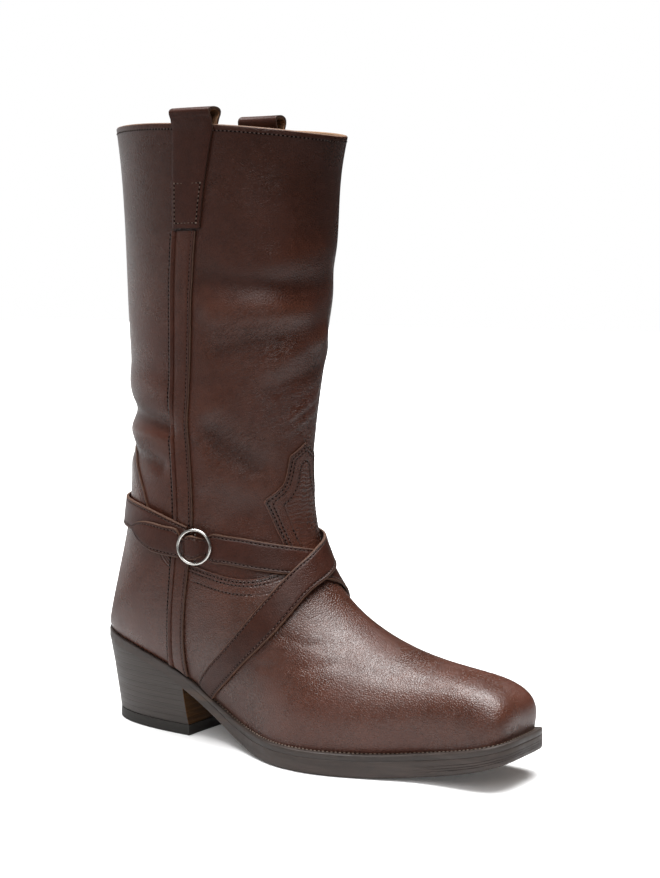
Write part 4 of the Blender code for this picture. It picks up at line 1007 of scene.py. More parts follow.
def feather_line(count):
    """Edge of the upper on the sole in plan, evenly spaced from the heel back over the outer side,
    with its outward directions and the margin of the sole beyond it."""
    places = np.linspace(HEEL_PLACE, 0.0, 500)
    outer = on_form(places, np.full(len(places), -1.0))[0][:, :2]
    inner = on_form(places, np.full(len(places), 1.0))[0][:, :2]
    toe = on_form(np.zeros(121), np.linspace(-1.0, 1.0, 121))[0][1:-1, :2]
    line = np.concatenate((outer, toe, inner[::-1]))
    table = np.array(MARGIN)
    margin = np.interp(places, table[:, 0], table[:, 1])
    margin = np.concatenate((margin, np.full(len(toe), margin[-1]), margin[::-1]))
    run = np.concatenate(([0.0], np.cumsum(np.linalg.norm(np.diff(line, axis=0), axis=1))))
    at = np.arange(count) * run[-1] / count
    ring = np.column_stack([np.interp(at, run, line[:, i]) for i in (0, 1)])
    for _ in range(6):
        ring = ring * 0.5 + (np.roll(ring, 1, axis=0) + np.roll(ring, -1, axis=0)) * 0.25
    ahead = np.roll(ring, -2, axis=0) - np.roll(ring, 2, axis=0)
    ahead /= np.linalg.norm(ahead, axis=1)[:, None]
    return ring, np.stack((ahead[:, 1], -ahead[:, 0]), axis=-1), np.interp(at, run, margin)


FEATHER, FEATHER_OUT, FEATHER_MARGIN = feather_line(640)


def sole_loop(reach, height):
    """Closed loop round the sole at a reach beyond the feather line, with heights from x."""
    plan = FEATHER + FEATHER_OUT * np.broadcast_to(reach, len(FEATHER))[:, None]
    return np.column_stack((plan, height(plan[:, 0])))


def capped_loft(loops, across=9):
    """Closed solid through loops from the bottom one to the top one; ladders of faces close both ends.

    Marks are 0 for the side, 1 for the bottom and 2 for the top.
    """
    points, quads = lofted(loops)
    marks = [np.zeros(len(quads), int)]
    points = [points]
    quads = [quads]
    count = len(loops[0])
    left = np.arange(count // 2 + 1)
    right = (count - left) % count
    share = np.linspace(0.0, 1.0, across)[None, :, None]
    for mark, loop in ((1, loops[0]), (2, loops[-1])):
        ladder = loop[left][:, None] * (1.0 - share) + loop[right][:, None] * share
        plan = grid_quads(len(left), across) + sum(map(len, points))
        quads.append(plan if mark == 1 else plan[:, ::-1])
        marks.append(np.full(len(plan), mark))
        points.append(ladder.reshape(-1, 3))
    return np.concatenate(points), np.concatenate(quads), np.concatenate(marks)


# edge of the outsole from the floor up: inset, share of the thickness, depth of groove at the toe
SOLE_EDGE = ((1.4, 0.0, 0.0), (0.6, 0.035, 0.0), (0.2, 0.09, 0.0), (0.0, 0.16, 0.0), (0.0, 0.305, 0.0),
             (0.0, 0.325, 0.22), (0.0, 0.345, 0.0), (0.0, 0.445, 0.0), (0.0, 0.465, 0.22), (0.0, 0.485, 0.0),
             (0.0, 0.615, 0.0), (0.0, 0.635, 0.2), (0.0, 0.655, 0.0), (0.0, 0.9, 0.0), (0.12, 0.97, 0.0),
             (0.4, 1.0, 0.0))
# x over which the heel's flush sides give way to the sole's own rounded edges
FLUSH_FROM = -68.0
FLUSH_TO = -40.0
# x over which the rib grooves deepen towards the toe
GROOVE_FROM = 72.0
GROOVE_TO = 122.0


def add_outsole(looks):
    """Outsole with arch, toe spring, rounded floor edge and rib grooves that fade behind the toe."""
    loops = []
    grooved = smooth_step(FEATHER[:, 0], GROOVE_FROM, GROOVE_TO)
    rounded = smooth_step(FEATHER[:, 0], FLUSH_FROM, FLUSH_TO)
    for inset, share, groove in SOLE_EDGE:
        def height(x, share=share):
            low = sole_low(x)
            return low + share * (outsole_top(x) - low)
        loops.append(sole_loop(FEATHER_MARGIN - inset * rounded - groove * grooved, height))
    points, quads, marks = capped_loft(loops)
    return add_piece("outsole_body", points, quads, looks, ("outsole",), marks, sharp=35.0)


# edge of the welt from below: inset, share of its thickness under the top; then its top, inwards
WELT_EDGE = ((0.05, 0.8), (0.0, 0.55), (0.05, 0.3), (0.2, 0.1), (0.5, 0.0))
WELT_TOP = (2.4, 1.6, 0.8, 0.2, -WELT_LAP)
WELT_LOW_INSET = 0.3
WELT_SEAT = 0.02


def add_welt(look):
    """Welt: a closed strip on the outsole with rounded edges, running in under the upper."""
    def low(x):
        return outsole_top(x) + WELT_SEAT
    rounded = smooth_step(FEATHER[:, 0], FLUSH_FROM, FLUSH_TO)
    loops = [sole_loop(-WELT_LAP, low), sole_loop(FEATHER_MARGIN - WELT_LOW_INSET * rounded, low)]
    for inset, drop in WELT_EDGE:
        def height(x, drop=drop):
            return sole_top(x) - drop * (sole_top(x) - outsole_top(x))
        loops.append(sole_loop(FEATHER_MARGIN - inset * (0.4 + 0.6 * rounded), height))
    for reach in WELT_TOP:
        loops.append(sole_loop(reach, sole_top))
    points, quads = lofted(loops + loops[:1])
    return add_piece("welt_strip", points, quads, (look,), ("welt",))


# heel: share of the way down, breast x, length and width against the seat
HEEL_LEVELS = ((0.0, -66.5, 1.000, 0.985), (0.35, -65.6, 0.965, 0.965), (0.70, -64.4, 0.945, 0.950),
               (1.0, -63.0, 0.935, 0.940))
BREAST_HOLLOW = 0.8
HEEL_MIDDLE = np.array((-102.0, 0.0))
# gaps of the heel block to its tip and to the sole
TIP_GAP = 0.15
HEEL_GAP = 0.03
# edge of the heel block from the tip up: share of the way down, inset
HEEL_EDGE = ((1.0, 0.45), (0.99, 0.1), (0.97, 0.0), (0.85, 0.0), (0.7, 0.0), (0.55, 0.0), (0.35, 0.0),
             (0.2, 0.0), (0.08, 0.0), (0.0, 0.0))
# edge of the heel tip from the floor up: height, inset
TIP_EDGE = ((0.0, 0.5), (0.35, 0.1), (0.9, 0.0), (5.7, 0.0), (6.05, 0.15), (HEEL_TIP_THICK, 0.5))


def heel_plan():
    """Seat of the heel in plan: from the breast round the back to the breast, then across the breast."""
    line = FEATHER + FEATHER_OUT * FEATHER_MARGIN[:, None]
    breast = HEEL_LEVELS[0][1]
    half = len(line) // 2
    sides = []
    for side in (line[:half], np.roll(line, -1, axis=0)[:half - 1:-1]):
        keep = np.argmax(side[:, 0] > breast)
        cut = side[:keep + 1].copy()
        share = (breast - cut[-2, 0]) / (cut[-1, 0] - cut[-2, 0])
        cut[-1] = cut[-2] + (cut[-1] - cut[-2]) * share
        sides.append(cut)
    outer, inner = sides
    across = np.linspace(0.0, 1.0, 42)[1:-1, None]
    front = outer[-1] * (1.0 - across) + inner[-1] * across
    start = len(inner) - 1
    plan = np.concatenate((inner[::-1], outer[1:], front))
    if len(plan) % 2:
        plan = np.concatenate((plan, (plan[-1:] + plan[:1]) / 2))
    is_front = np.arange(len(plan)) >= len(inner) + len(outer) - 2
    return np.roll(plan, -start, axis=0), np.roll(is_front, -start)


def heel_loop(plan, share, inset, height):
    """Loop of the heel block at a share of the way down, drawn in by an inset."""
    table = np.array(HEEL_LEVELS)
    breast, length, width = (np.interp(share, table[:, 0], table[:, i]) for i in (1, 2, 3))
    x = breast + (plan[:, 0] - table[0, 1]) * length
    half = np.abs(plan[:, 1]).max()
    x = x - BREAST_HOLLOW * (1.0 - (plan[:, 1] / half) ** 2) * (plan[:, 0] > table[0, 1] - 0.01)
    flat = np.stack((x, plan[:, 1] * width), axis=-1)
    inward = HEEL_MIDDLE - flat
    flat = flat + inward * (inset / np.linalg.norm(inward, axis=1))[:, None]
    return np.column_stack((flat, height(flat[:, 0])))


def add_heel(looks, tip_looks):
    """Stacked heel block with its breast face, and the wearing piece under it."""
    plan, breast = heel_plan()
    bottom = HEEL_TIP_THICK + TIP_GAP
    loops = []
    for share, inset in HEEL_EDGE:
        def height(x, share=share):
            seat = sole_low(x) - HEEL_GAP
            return seat + (bottom - seat) * share
        loops.append(heel_loop(plan, share, inset, height))
    points, quads, marks = capped_loft(loops)
    face = breast | np.roll(breast, -1)
    marks[:len(plan) * (len(loops) - 1)] = np.tile(face.astype(int), len(loops) - 1)
    marks[len(plan) * (len(loops) - 1):] = 0
    add_piece("heel_block", points, quads, looks, ("heel_stack",), marks)
    loops = []
    for level, inset in TIP_EDGE:
        loops.append(heel_loop(plan, 1.0, inset, lambda x, level=level: np.full(len(x), level)))
    points, quads, marks = capped_loft(loops)
    add_piece("heel_wear", points, quads, tip_looks, ("heel_tip",), marks * 0)


# Stitches

STITCH_PITCH = 2.35
STITCH_LENGTH = 1.5
STITCH_RADIUS = 0.30
HOLE_LENGTH = 1.45
HOLE_RADIUS = 0.44
HOLE_RISE = 0.45
HOLE_SINK = 0.03
WELT_STITCH_RADIUS = 0.42
# bead of thread: share along its half length, share of its radius, drop
BEAD = ((-1.0, 0.0, 0.9), (-0.92, 0.55, 0.6), (-0.5, 1.0, 0.0), (0.5, 1.0, 0.0), (0.92, 0.55, 0.6),
        (1.0, 0.0, 0.9))
# stitch rows: inside a side strip's front edge, and behind its bead on the leather beside it; under the
# collar; on the straps; beside the feather line on the welt, from the waist forward
STRIP_SEAM = 2.0
STRIP_SEAM_LIFT = 0.80
BEAD_SEAM = 1.6
BEAD_SEAM_SINK = 0.55
SEAM_LIFT = 0.03
COLLAR_SEAM = 2.4
COLLAR_SEAM_LIFT = 0.02
STRAP_SEAM_LIFT = 1.2
WELT_SEAM = 1.5
WELT_SEAM_START = -48.0


def line_stations(place, girth, pitch):
    """Evenly spaced stations along a line on the form."""
    girth = np.unwrap(girth, period=2.0)
    points = on_form(place, girth)[0]
    run = np.concatenate(([0.0], np.cumsum(np.linalg.norm(np.diff(points, axis=0), axis=1))))
    at = np.arange(pitch / 2, run[-1], pitch)
    return np.interp(at, run, place), np.interp(at, run, girth)


def inset_line(place, girth, offset):
    """Line on the form moved sideways, to its left as seen from outside."""
    girth = np.unwrap(girth, period=2.0)
    points, normals = on_form(place, girth)
    ahead = np.gradient(points, axis=0)
    ahead /= np.maximum(np.linalg.norm(ahead, axis=1), 1e-9)[:, None]
    return moved_on_form(place, girth, np.cross(normals, ahead) * offset)


def stitches_at(place, girth, lift):
    """Middle, direction and outward direction of stitches at places on the form."""
    points, normals = on_form(place, girth, lift)
    return points, np.gradient(points, axis=0), normals


def stitches_on(place, girth, lift, pitch):
    """Stitches of one row along a line on the form; the lift runs with the line."""
    lift = np.broadcast_to(lift, np.shape(place))
    share = np.linspace(0.0, 1.0, len(place))
    at_place, at_girth = line_stations(place, girth, pitch)
    at_lift = np.interp(np.linspace(0.0, 1.0, len(at_place)), share, lift)
    return stitches_at(at_place, at_girth, at_lift)


def add_stitches(name, rows, length, radius, look, rise=1.0):
    """Thread of many rows as one mesh: each stitch is a short six-sided bead with drawn-in ends.

    The rise flattens the beads: 1 for round thread, less for the black bead of painted shade in a needle
    hole.
    """
    points, ahead, normals = (np.concatenate(part) for part in zip(*rows))
    ahead = ahead / np.linalg.norm(ahead, axis=1)[:, None]
    side = np.cross(normals, ahead)
    side /= np.linalg.norm(side, axis=1)[:, None]
    turn = np.linspace(0.0, 2.0 * math.pi, 7)[:-1]
    rings = []
    for along, size, drop in BEAD:
        middle = points + ahead * (along * length / 2) - normals * (drop * radius * rise)
        across = side[:, None] * np.cos(turn)[None, :, None]
        across = across + normals[:, None] * (rise * np.sin(turn))[None, :, None]
        rings.append(middle[:, None] + across * (size * radius))
    net = np.stack(rings, axis=1)
    net = np.concatenate((net, net[:, :, :1]), axis=2)
    count = net.shape[1] * net.shape[2]
    quads = grid_quads(net.shape[1], net.shape[2])[None] + (np.arange(len(points)) * count)[:, None, None]
    return add_piece(name, net.reshape(-1, 3), quads.reshape(-1, 4)[:, ::-1], (look,), (), sharp=80.0)


def holes_between(rows, longest):
    """Needle holes: the middles between neighbouring stitches of each row."""
    holes = []
    for points, ahead, normals in rows:
        near = np.linalg.norm(np.diff(points, axis=0), axis=1) < longest
        middles = [((part[1:] + part[:-1]) / 2)[near] for part in (points, ahead, normals)]
        holes.append((middles[0] - middles[2] * HOLE_SINK, middles[1], middles[2]))
    return holes


def outline_rows(line, outline, offsets, full_turn, pitch):
    """Stitch rows inside the sewn line of a panel, each at its distance from the line."""
    place, girth = find_on_form(line[:, 0], line[:, 1])
    rows = []
    for offset in offsets:
        moved_place, moved_girth = line_stations(*inset_line(place, girth, offset), pitch)
        row = stitches_at(moved_place, moved_girth, np.full(len(moved_place), PANEL_TOP - 0.05))
        angles = panel_angles(moved_place, moved_girth, full_turn)
        clear = outline_gap(outline, *angles) > abs(offset) - 0.4
        rows.append(tuple(part[clear] for part in row))
    return rows


def band_rows(rows, offset, thick, pitch):
    """Stitch rows along both edges of a band."""
    width = band_width(rows)
    made = []
    for edge in (0, 1):
        share = np.minimum(offset / width, 0.5)
        share = 1.0 - share if edge else share
        angle = rows[:, 0] * (1.0 - share) + rows[:, 2] * share
        height = rows[:, 1] * (1.0 - share) + rows[:, 3] * share
        place, girth = find_on_form(angle, height)
        girth = np.unwrap(girth, period=2.0)
        points = on_form(place, girth)[0]
        run = np.concatenate(([0.0], np.cumsum(np.linalg.norm(np.diff(points, axis=0), axis=1))))
        at = np.arange(pitch / 2, run[-1], pitch)
        lift = np.interp(at, run, rows[:, 4]) + thick
        lifted, normals = on_form(np.interp(at, run, place), np.interp(at, run, girth), lift)
        seen = lifted[:, 2] > sole_top(lifted[:, 0]) + 1.5
        made.append((lifted[seen], np.gradient(lifted, axis=0)[seen], normals[seen]))
    return made


def edge_row(rows, column, offset, lift, pitch):
    """Stitch row beside one edge of a band: column 0 is its first edge and 2 its second."""
    place, girth = find_on_form(rows[:, column], rows[:, column + 1])
    place, girth = inset_line(place, girth, offset)
    return stitches_on(place, girth, lift, pitch)


def welt_row(reach, first_x, pitch):
    """Stitch row on the welt beside the feather line, ahead of the waist."""
    loop = sole_loop(reach, sole_top)
    run = np.concatenate(([0.0], np.cumsum(np.linalg.norm(np.diff(loop, axis=0), axis=1))))
    at = np.arange(0.0, run[-1], pitch)
    points = np.column_stack([np.interp(at, run, loop[:, i]) for i in range(3)])
    ahead = np.gradient(points, axis=0)
    upright = np.tile((0.0, 0.0, 1.0), (len(points), 1))
    seen = points[:, 0] > first_x
    return points[seen], ahead[seen], upright[seen]


# Finishes

class Value:
    """A number carried by a node socket; arithmetic on it adds Math nodes."""

    def __init__(self, nodes, socket):
        self.nodes = nodes
        self.socket = socket

    def __add__(self, other):
        return self.nodes.maths("ADD", self, other)

    def __radd__(self, other):
        return self.nodes.maths("ADD", other, self)

    def __sub__(self, other):
        return self.nodes.maths("SUBTRACT", self, other)

    def __rsub__(self, other):
        return self.nodes.maths("SUBTRACT", other, self)

    def __mul__(self, other):
        return self.nodes.maths("MULTIPLY", self, other)

    def __rmul__(self, other):
        return self.nodes.maths("MULTIPLY", other, self)

    def __abs__(self):
        return self.nodes.maths("ABSOLUTE", self)


class Nodes:
    """A tree of shader nodes and short ways to its nodes."""

    def __init__(self, tree):
        self.tree = tree

    def feed(self, socket, value):
        """Link or value into a socket."""
        if isinstance(value, Value):
            value = value.socket
        if isinstance(value, bpy.types.NodeSocket):
            self.tree.links.new(value, socket)
        else:
            socket.default_value = value

    def node(self, kind, settings=None, sockets=None):
        """New node of a type, with its settings and then its sockets."""
        made = self.tree.nodes.new(kind)
        for key, value in (settings or {}).items():
            setattr(made, key, value)
        for key, value in (sockets or {}).items():
            self.feed(made.inputs[key], value)
        return made

    def maths(self, operation, *values):
        """Result of a Math node."""
        made = self.node("ShaderNodeMath", {"operation": operation}, dict(enumerate(values)))
        return Value(self, made.outputs[0])

    def step(self, value, low, high, start=0.0, end=1.0):
        """Soft change of a value from one number to another between two limits."""
        sockets = {"Value": value, "From Min": low, "From Max": high, "To Min": start, "To Max": end}
        made = self.node("ShaderNodeMapRange", {"interpolation_type": "SMOOTHSTEP"}, sockets)
        return Value(self, made.outputs[0])

    def along(self, vector, direction):
        """Share of a vector along a direction."""
        direction = tuple(np.array(direction) / np.linalg.norm(direction))
        made = self.node("ShaderNodeVectorMath", {"operation": "DOT_PRODUCT"}, {0: vector, 1: direction})
        return Value(self, made.outputs["Value"])


class Finish(Nodes):
    """Material being made: its one shader and the patterns it is built from."""

    def __init__(self, name, **constants):
        self.material = bpy.data.materials.new(name)
        self.material.use_nodes = True
        super().__init__(self.material.node_tree)
        self.shader = self.tree.nodes["Principled BSDF"]
        self.here = self.node("ShaderNodeTexCoord").outputs["Object"]
        for key, value in constants.items():
            self.feed(self.shader.inputs[key.replace("_", " ")], value)

    def stretched(self, scale, turn=(0.0, 0.0, 0.0)):
        """Object coordinates turned, then scaled; a pattern runs long where the scale is small."""
        sockets = {"Vector": self.here, "Rotation": tuple(map(math.radians, turn)),
                   "Scale": tuple(1.0 / part for part in scale)}
        return self.node("ShaderNodeMapping", {"vector_type": "TEXTURE"}, sockets).outputs[0]

    def noise(self, scale, detail=3.0, roughness=0.55, at=None, distortion=0.0):
        """Cloudy noise from 0 to 1."""
        sockets = {"Vector": at or self.here, "Scale": scale, "Detail": detail, "Roughness": roughness,
                   "Distortion": distortion}
        return Value(self, self.node("ShaderNodeTexNoise", None, sockets).outputs[0])

    def cells(self, scale):
        """Distance from the edges in a pattern of cells."""
        sockets = {"Vector": self.here, "Scale": scale}
        made = self.node("ShaderNodeTexVoronoi", {"feature": "DISTANCE_TO_EDGE"}, sockets)
        return Value(self, made.outputs["Distance"])

    def axis(self, name):
        """One object coordinate in metres."""
        return Value(self, self.node("ShaderNodeSeparateXYZ", None, {0: self.here}).outputs[name])

    def attribute(self, name):
        """Number stored on the piece's points."""
        return Value(self, self.node("ShaderNodeAttribute", {"attribute_name": name}).outputs["Fac"])

    def line(self, value, middle, width):
        """1 on a line where the value has its middle, falling to 0 at the width."""
        return self.step(abs(value - middle), 0.0, width, 1.0, 0.0)

    def mixed(self, share, first, second):
        """Colour between two."""
        first, second = ((*c, 1.0) if isinstance(c, tuple) and len(c) == 3 else c for c in (first, second))
        made = self.node("ShaderNodeMix", {"data_type": "RGBA"}, {0: share, 6: first, 7: second})
        return made.outputs[2]

    def bumped(self, height, distance):
        """Normal bent by a height in units of the distance, in millimetres."""
        sockets = {"Height": height, "Distance": distance * MM, "Strength": 1.0}
        return self.node("ShaderNodeBump", None, sockets).outputs[0]

    def done(self, **links):
        """Material with the shader's inputs linked."""
        for key, value in links.items():
            self.feed(self.shader.inputs[key.replace("_", " ")], value)
        return self.material


# spacing of the ripples on the flame, and thickness of one lift of the heel
RIPPLE_PITCH = 2.5
HEEL_LIFT = 3.1


def leather(name, dark, light, rough, grain, crinkle, shine, rows=(), edge=None, rippled=False, patches=()):
    """Waxed leather: cloudy tone, pebbled grain, pull lines, furrows in patches, channels under stitch rows.

    The edge gap of the piece, in millimetres, draws its rim and sinks a channel at each stitch row; the
    channel is darkened with painted shade. The rim is pale, and wider where the edge is cut than where it
    is folded, with a sunk line of painted shade beside it. A rippled piece has fine level wrinkles on the
    flame, inside its inner stitch row. Patches are places with stronger furrows; a piece with patches also
    has painted shade in its hollows and towards the collar, and is paler on its swells: a painted highlight
    that partly stands for the paler pull-up of stretched waxed leather.
    """
    make = Finish(name, Specular_IOR_Level=shine, Coat_Roughness=0.2, Coat_IOR=1.45)
    cloud = make.noise(22.0, 4.0, 0.6)
    mottle = make.noise(150.0, 3.0, 0.6)
    tone = make.step(cloud * 0.6 + mottle * 0.4, 0.22, 0.82)
    colour = make.mixed(tone, dark, light)
    red = make.step(make.noise(18.0, 2.0), 0.3, 0.85) * 0.35
    colour = make.mixed(red, colour, (light[0] * 1.1, light[1] * 0.82, light[2] * 0.8))
    if patches:
        swell = make.attribute("swell")
        # painted shade: the hollows of the creases are darkened
        colour = make.mixed(make.step(swell, -1.6, -0.1, 0.38, 0.0), colour, tuple(c * 0.5 for c in dark))
        # painted highlight on the swells, partly the paler pull-up of stretched waxed leather
        colour = make.mixed(make.step(swell, 0.2, 1.8, 0.0, 0.45), colour, tuple(c * 1.25 for c in light))
        # painted shade: darker towards the collar
        high = make.step(make.axis("Z"), 0.225, 0.32, 0.0, 0.42)
        colour = make.mixed(high, colour, tuple(c * 0.55 for c in dark))
    pebble = make.step(make.cells(760.0), 0.0, 0.28)
    fine = make.noise(2000.0, 2.0)
    pull = make.noise(130.0, 5.0, 0.62, make.stretched((0.8, 0.8, 3.0), (0.0, -26.0, 0.0)))
    vein = abs(make.noise(260.0, 3.0, 0.6, make.stretched((0.5, 0.5, 2.2), (0.0, -36.0, 0.0)), 0.25) - 0.5)
    where = make.step(make.noise(34.0, 2.0), 0.44, 0.66, 0.0, 0.6)
    across = make.axis("X") * MM_PER_METRE
    up = make.axis("Z") * MM_PER_METRE
    for x, level, reach in patches:
        away = make.maths("SQRT", (across - x) * (across - x) + (up - level) * (up - level))
        where = where + make.step(away, 0.2 * reach, reach, 2.2, 0.0)
    furrow = make.step(vein, 0.0, 0.07, 1.0, 0.0) * where
    height = pebble * (0.6 * grain) + fine * (0.3 * grain) + pull * 0.9 - furrow * crinkle
    crack = make.noise(620.0, 3.0, 0.65, make.stretched((0.8, 0.8, 1.6), (0.0, -30.0, 0.0)))
    colour = make.mixed(make.step(crack, 0.5, 0.72, 0.0, 0.38), colour, tuple(c * 0.45 for c in dark))
    gloss = make.step(make.noise(36.0, 3.0), 0.3, 0.7, rough - 0.05, rough + 0.08)
    if edge:
        gap = make.attribute("edge_gap")
        pale = 0.25 if edge == "cut" else 0.0
        # painted shade: a dark line sunk just beside the pale rim
        shade = make.line(gap, pale + 0.55, 0.65)
        colour = make.mixed(shade * 0.65, colour, tuple(c * 0.3 for c in dark))
        rim = make.step(gap, pale, pale + 0.3, 1.0, 0.0)
        colour = make.mixed(rim, colour, tuple(c * 1.2 for c in light))
        height = height - shade * 0.8
        for row in rows:
            channel = make.line(gap, row, 0.8)
            height = height - channel
            # painted shade darkens the stitch channel
            colour = make.mixed(channel * 0.25, colour, tuple(c * 0.4 for c in dark))
        if rippled:
            level = make.axis("Z") * MM_PER_METRE
            bend = make.noise(70.0, 3.0) * 9.0
            wave = make.maths("SINE", (level + bend) * (2.0 * math.pi / RIPPLE_PITCH))
            tongue = make.step(gap, 8.8, 10.4) * make.step(level, 104.0, 114.0)
            height = height + wave * tongue * make.step(level, 150.0, 166.0, 0.28, 0.0)
    wax = make.step(cloud, 0.3, 0.75, 0.16 * shine, 0.28 * shine)
    return make.done(Base_Color=colour, Roughness=gloss, Coat_Weight=wax, Normal=make.bumped(height, 0.22))


def raw_edge(name, dark, light):
    """Cut edge of leather: lighter, fibrous and dull."""
    make = Finish(name, Roughness=0.7)
    fibre = make.noise(500.0, 3.0, 0.6)
    return make.done(Base_Color=make.mixed(fibre, dark, light), Normal=make.bumped(fibre, 0.15))


def lining(name, dark, light):
    """Smooth pale lining leather."""
    make = Finish(name, Roughness=0.62)
    cloud = make.noise(30.0, 4.0)
    fine = make.noise(900.0, 2.0)
    return make.done(Base_Color=make.mixed(cloud, dark, light), Normal=make.bumped(fine, 0.1))


def thread(name, colour):
    """Waxed thread."""
    make = Finish(name, Roughness=0.55)
    tone = make.noise(260.0, 2.0)
    return make.done(Base_Color=make.mixed(tone, tuple(c * 0.6 for c in colour), colour))


def hole_shade(name, colour):
    """Painted shade in a needle hole: an almost black bead, with nothing to shine."""
    make = Finish(name, Specular_IOR_Level=0.0, Roughness=1.0)
    spot = make.noise(500.0, 2.0)
    return make.done(Base_Color=make.mixed(spot, tuple(c * 0.6 for c in colour), colour))


def sole_edge(name, dark, light, streak):
    """Dressed sole edge: dark stain with long faint streaks along it."""
    make = Finish(name, Coat_Roughness=0.35)
    long = make.noise(60.0, 5.0, 0.62, make.stretched((0.35, 0.35, 4.0)))
    spot = make.noise(240.0, 3.0)
    tone = make.step(long * 0.7 + spot * 0.3, 0.28, 0.74)
    colour = make.mixed(tone, dark, light)
    waist = make.step(make.axis("X"), -0.075, -0.045) * make.step(make.axis("X"), -0.02, 0.01, 1.0, 0.0)
    bare = make.step(long, 0.5, 0.72) * waist
    colour = make.mixed(bare * 0.7, colour, streak)
    return make.done(Base_Color=colour, Roughness=make.step(spot, 0.3, 0.7, 0.42, 0.6), Coat_Weight=0.12,
                     Normal=make.bumped(long + spot * 0.5, 0.18))


def stacked_leather(name, dark, light, line_share, shine):
    """Heel side of stacked leather lifts: level bands of tone with thin dark joints."""
    make = Finish(name, Specular_IOR_Level=shine)
    level = make.axis("Z") * (MM_PER_METRE / HEEL_LIFT)
    wobble = make.noise(40.0, 3.0) * 0.25
    part = make.maths("FRACT", level + wobble)
    joint = make.line(part, 0.5, 0.08)
    band = make.noise(9.0, 2.0, 0.5, make.stretched((0.6, 0.6, 30.0)))
    grain = make.noise(70.0, 5.0, 0.62, make.stretched((0.5, 0.5, 7.0)))
    tone = make.step(band * 0.4 + grain * 0.6, 0.34, 0.66)
    colour = make.mixed(tone, dark, light)
    colour = make.mixed(joint * line_share, colour, tuple(c * 0.35 for c in dark))
    return make.done(Base_Color=colour, Roughness=make.step(grain, 0.3, 0.7, 0.4, 0.55),
                     Coat_Weight=0.2 * shine, Normal=make.bumped(grain - joint * 0.8, 0.12))


def rubber(name, colour):
    """Dull rubber."""
    make = Finish(name, Roughness=0.6)
    spot = make.noise(400.0, 3.0)
    tone = make.mixed(spot, tuple(c * 0.7 for c in colour), colour)
    return make.done(Base_Color=tone, Normal=make.bumped(spot, 0.1))


def polished_metal(name, colour):
    """Plated wire with faint rubbing marks."""
    make = Finish(name, Metallic=1.0, Base_Color=(*colour, 1.0))
    rub = make.noise(300.0, 3.0)
    return make.done(Roughness=make.step(rub, 0.3, 0.7, 0.12, 0.24))


# colours of the leathers, and distances of the stitch rows from the sewn edge
DARK = (0.044, 0.0145, 0.0086)
BROWN = (0.098, 0.0345, 0.0210)
VAMP_DARK = (0.048, 0.0170, 0.0105)
VAMP_BROWN = (0.104, 0.0390, 0.0245)
STRAP_DARK = (0.032, 0.0108, 0.0068)
STRAP_BROWN = (0.068, 0.0235, 0.0150)
VAMP_SEAMS = (1.8, 3.7, 8.5)
COUNTER_SEAMS = (1.9, 3.8)
STRAP_SEAM = 1.73
shaft_leather = leather("shaft_leather", DARK, BROWN, rough=0.28, grain=0.55, crinkle=0.35, shine=0.38,
                        patches=WRINKLE_PATCHES)
vamp_leather = leather("vamp_leather", VAMP_DARK, VAMP_BROWN, rough=0.26, grain=0.8, crinkle=0.2, shine=0.5,
                       rows=VAMP_SEAMS, edge="cut", rippled=True)
counter_leather = leather("counter_leather", DARK, BROWN, rough=0.28, grain=0.4, crinkle=0.15, shine=0.4,
                          rows=COUNTER_SEAMS, edge="cut")
strap_leather = leather("strap_leather", STRAP_DARK, STRAP_BROWN, rough=0.36, grain=0.5, crinkle=0.5,
                        shine=0.25, rows=(STRAP_SEAM,), edge="folded")
strip_leather = leather("strip_leather", DARK, BROWN, rough=0.30, grain=0.4, crinkle=0.3, shine=0.35,
                        edge="folded")
loop_leather = leather("loop_leather", STRAP_DARK, STRAP_BROWN, rough=0.34, grain=0.4, crinkle=0.3,
                       shine=0.25)
loop_lining = lining("loop_lining", (0.16, 0.075, 0.033), (0.27, 0.14, 0.065))
shaft_lining = lining("shaft_lining", (0.26, 0.145, 0.075), (0.38, 0.23, 0.125))
insole_lining = lining("insole_lining", (0.26, 0.15, 0.08), (0.38, 0.24, 0.13))
panel_edge = raw_edge("panel_edge", (0.045, 0.019, 0.012), (0.14, 0.066, 0.036))
strap_edge = raw_edge("strap_edge", (0.045, 0.018, 0.010), (0.15, 0.066, 0.034))
loop_edge = raw_edge("loop_edge", (0.03, 0.012, 0.008), (0.09, 0.040, 0.022))
collar_edge = raw_edge("collar_edge", (0.09, 0.042, 0.022), (0.22, 0.115, 0.06))
brown_thread = thread("brown_thread", (0.062, 0.028, 0.019))
strap_thread = thread("strap_thread", (0.105, 0.060, 0.045))
loop_thread = thread("loop_thread", (0.17, 0.115, 0.085))
welt_thread = thread("welt_thread", (0.26, 0.19, 0.145))
painted_hole_shade = hole_shade("painted_hole_shade", (0.005, 0.003, 0.0025))
outsole_edge = sole_edge("outsole_edge", (0.030, 0.0205, 0.017), (0.070, 0.050, 0.042), (0.14, 0.072, 0.037))
outsole_floor = sole_edge("outsole_floor", (0.10, 0.055, 0.030), (0.17, 0.10, 0.058), (0.17, 0.10, 0.058))
welt_edge = sole_edge("welt_edge", (0.026, 0.018, 0.015), (0.066, 0.049, 0.042), (0.10, 0.055, 0.032))
heel_side = stacked_leather("heel_side", (0.038, 0.0285, 0.0240), (0.060, 0.0475, 0.0415), 0.12, 0.45)
heel_breast = stacked_leather("heel_breast", (0.042, 0.0195, 0.0085), (0.12, 0.058, 0.022), 0.25, 0.05)
wear_rubber = rubber("wear_rubber", (0.024, 0.020, 0.017))
ring_metal = polished_metal("ring_metal", (0.80, 0.78, 0.74))

# The pieces

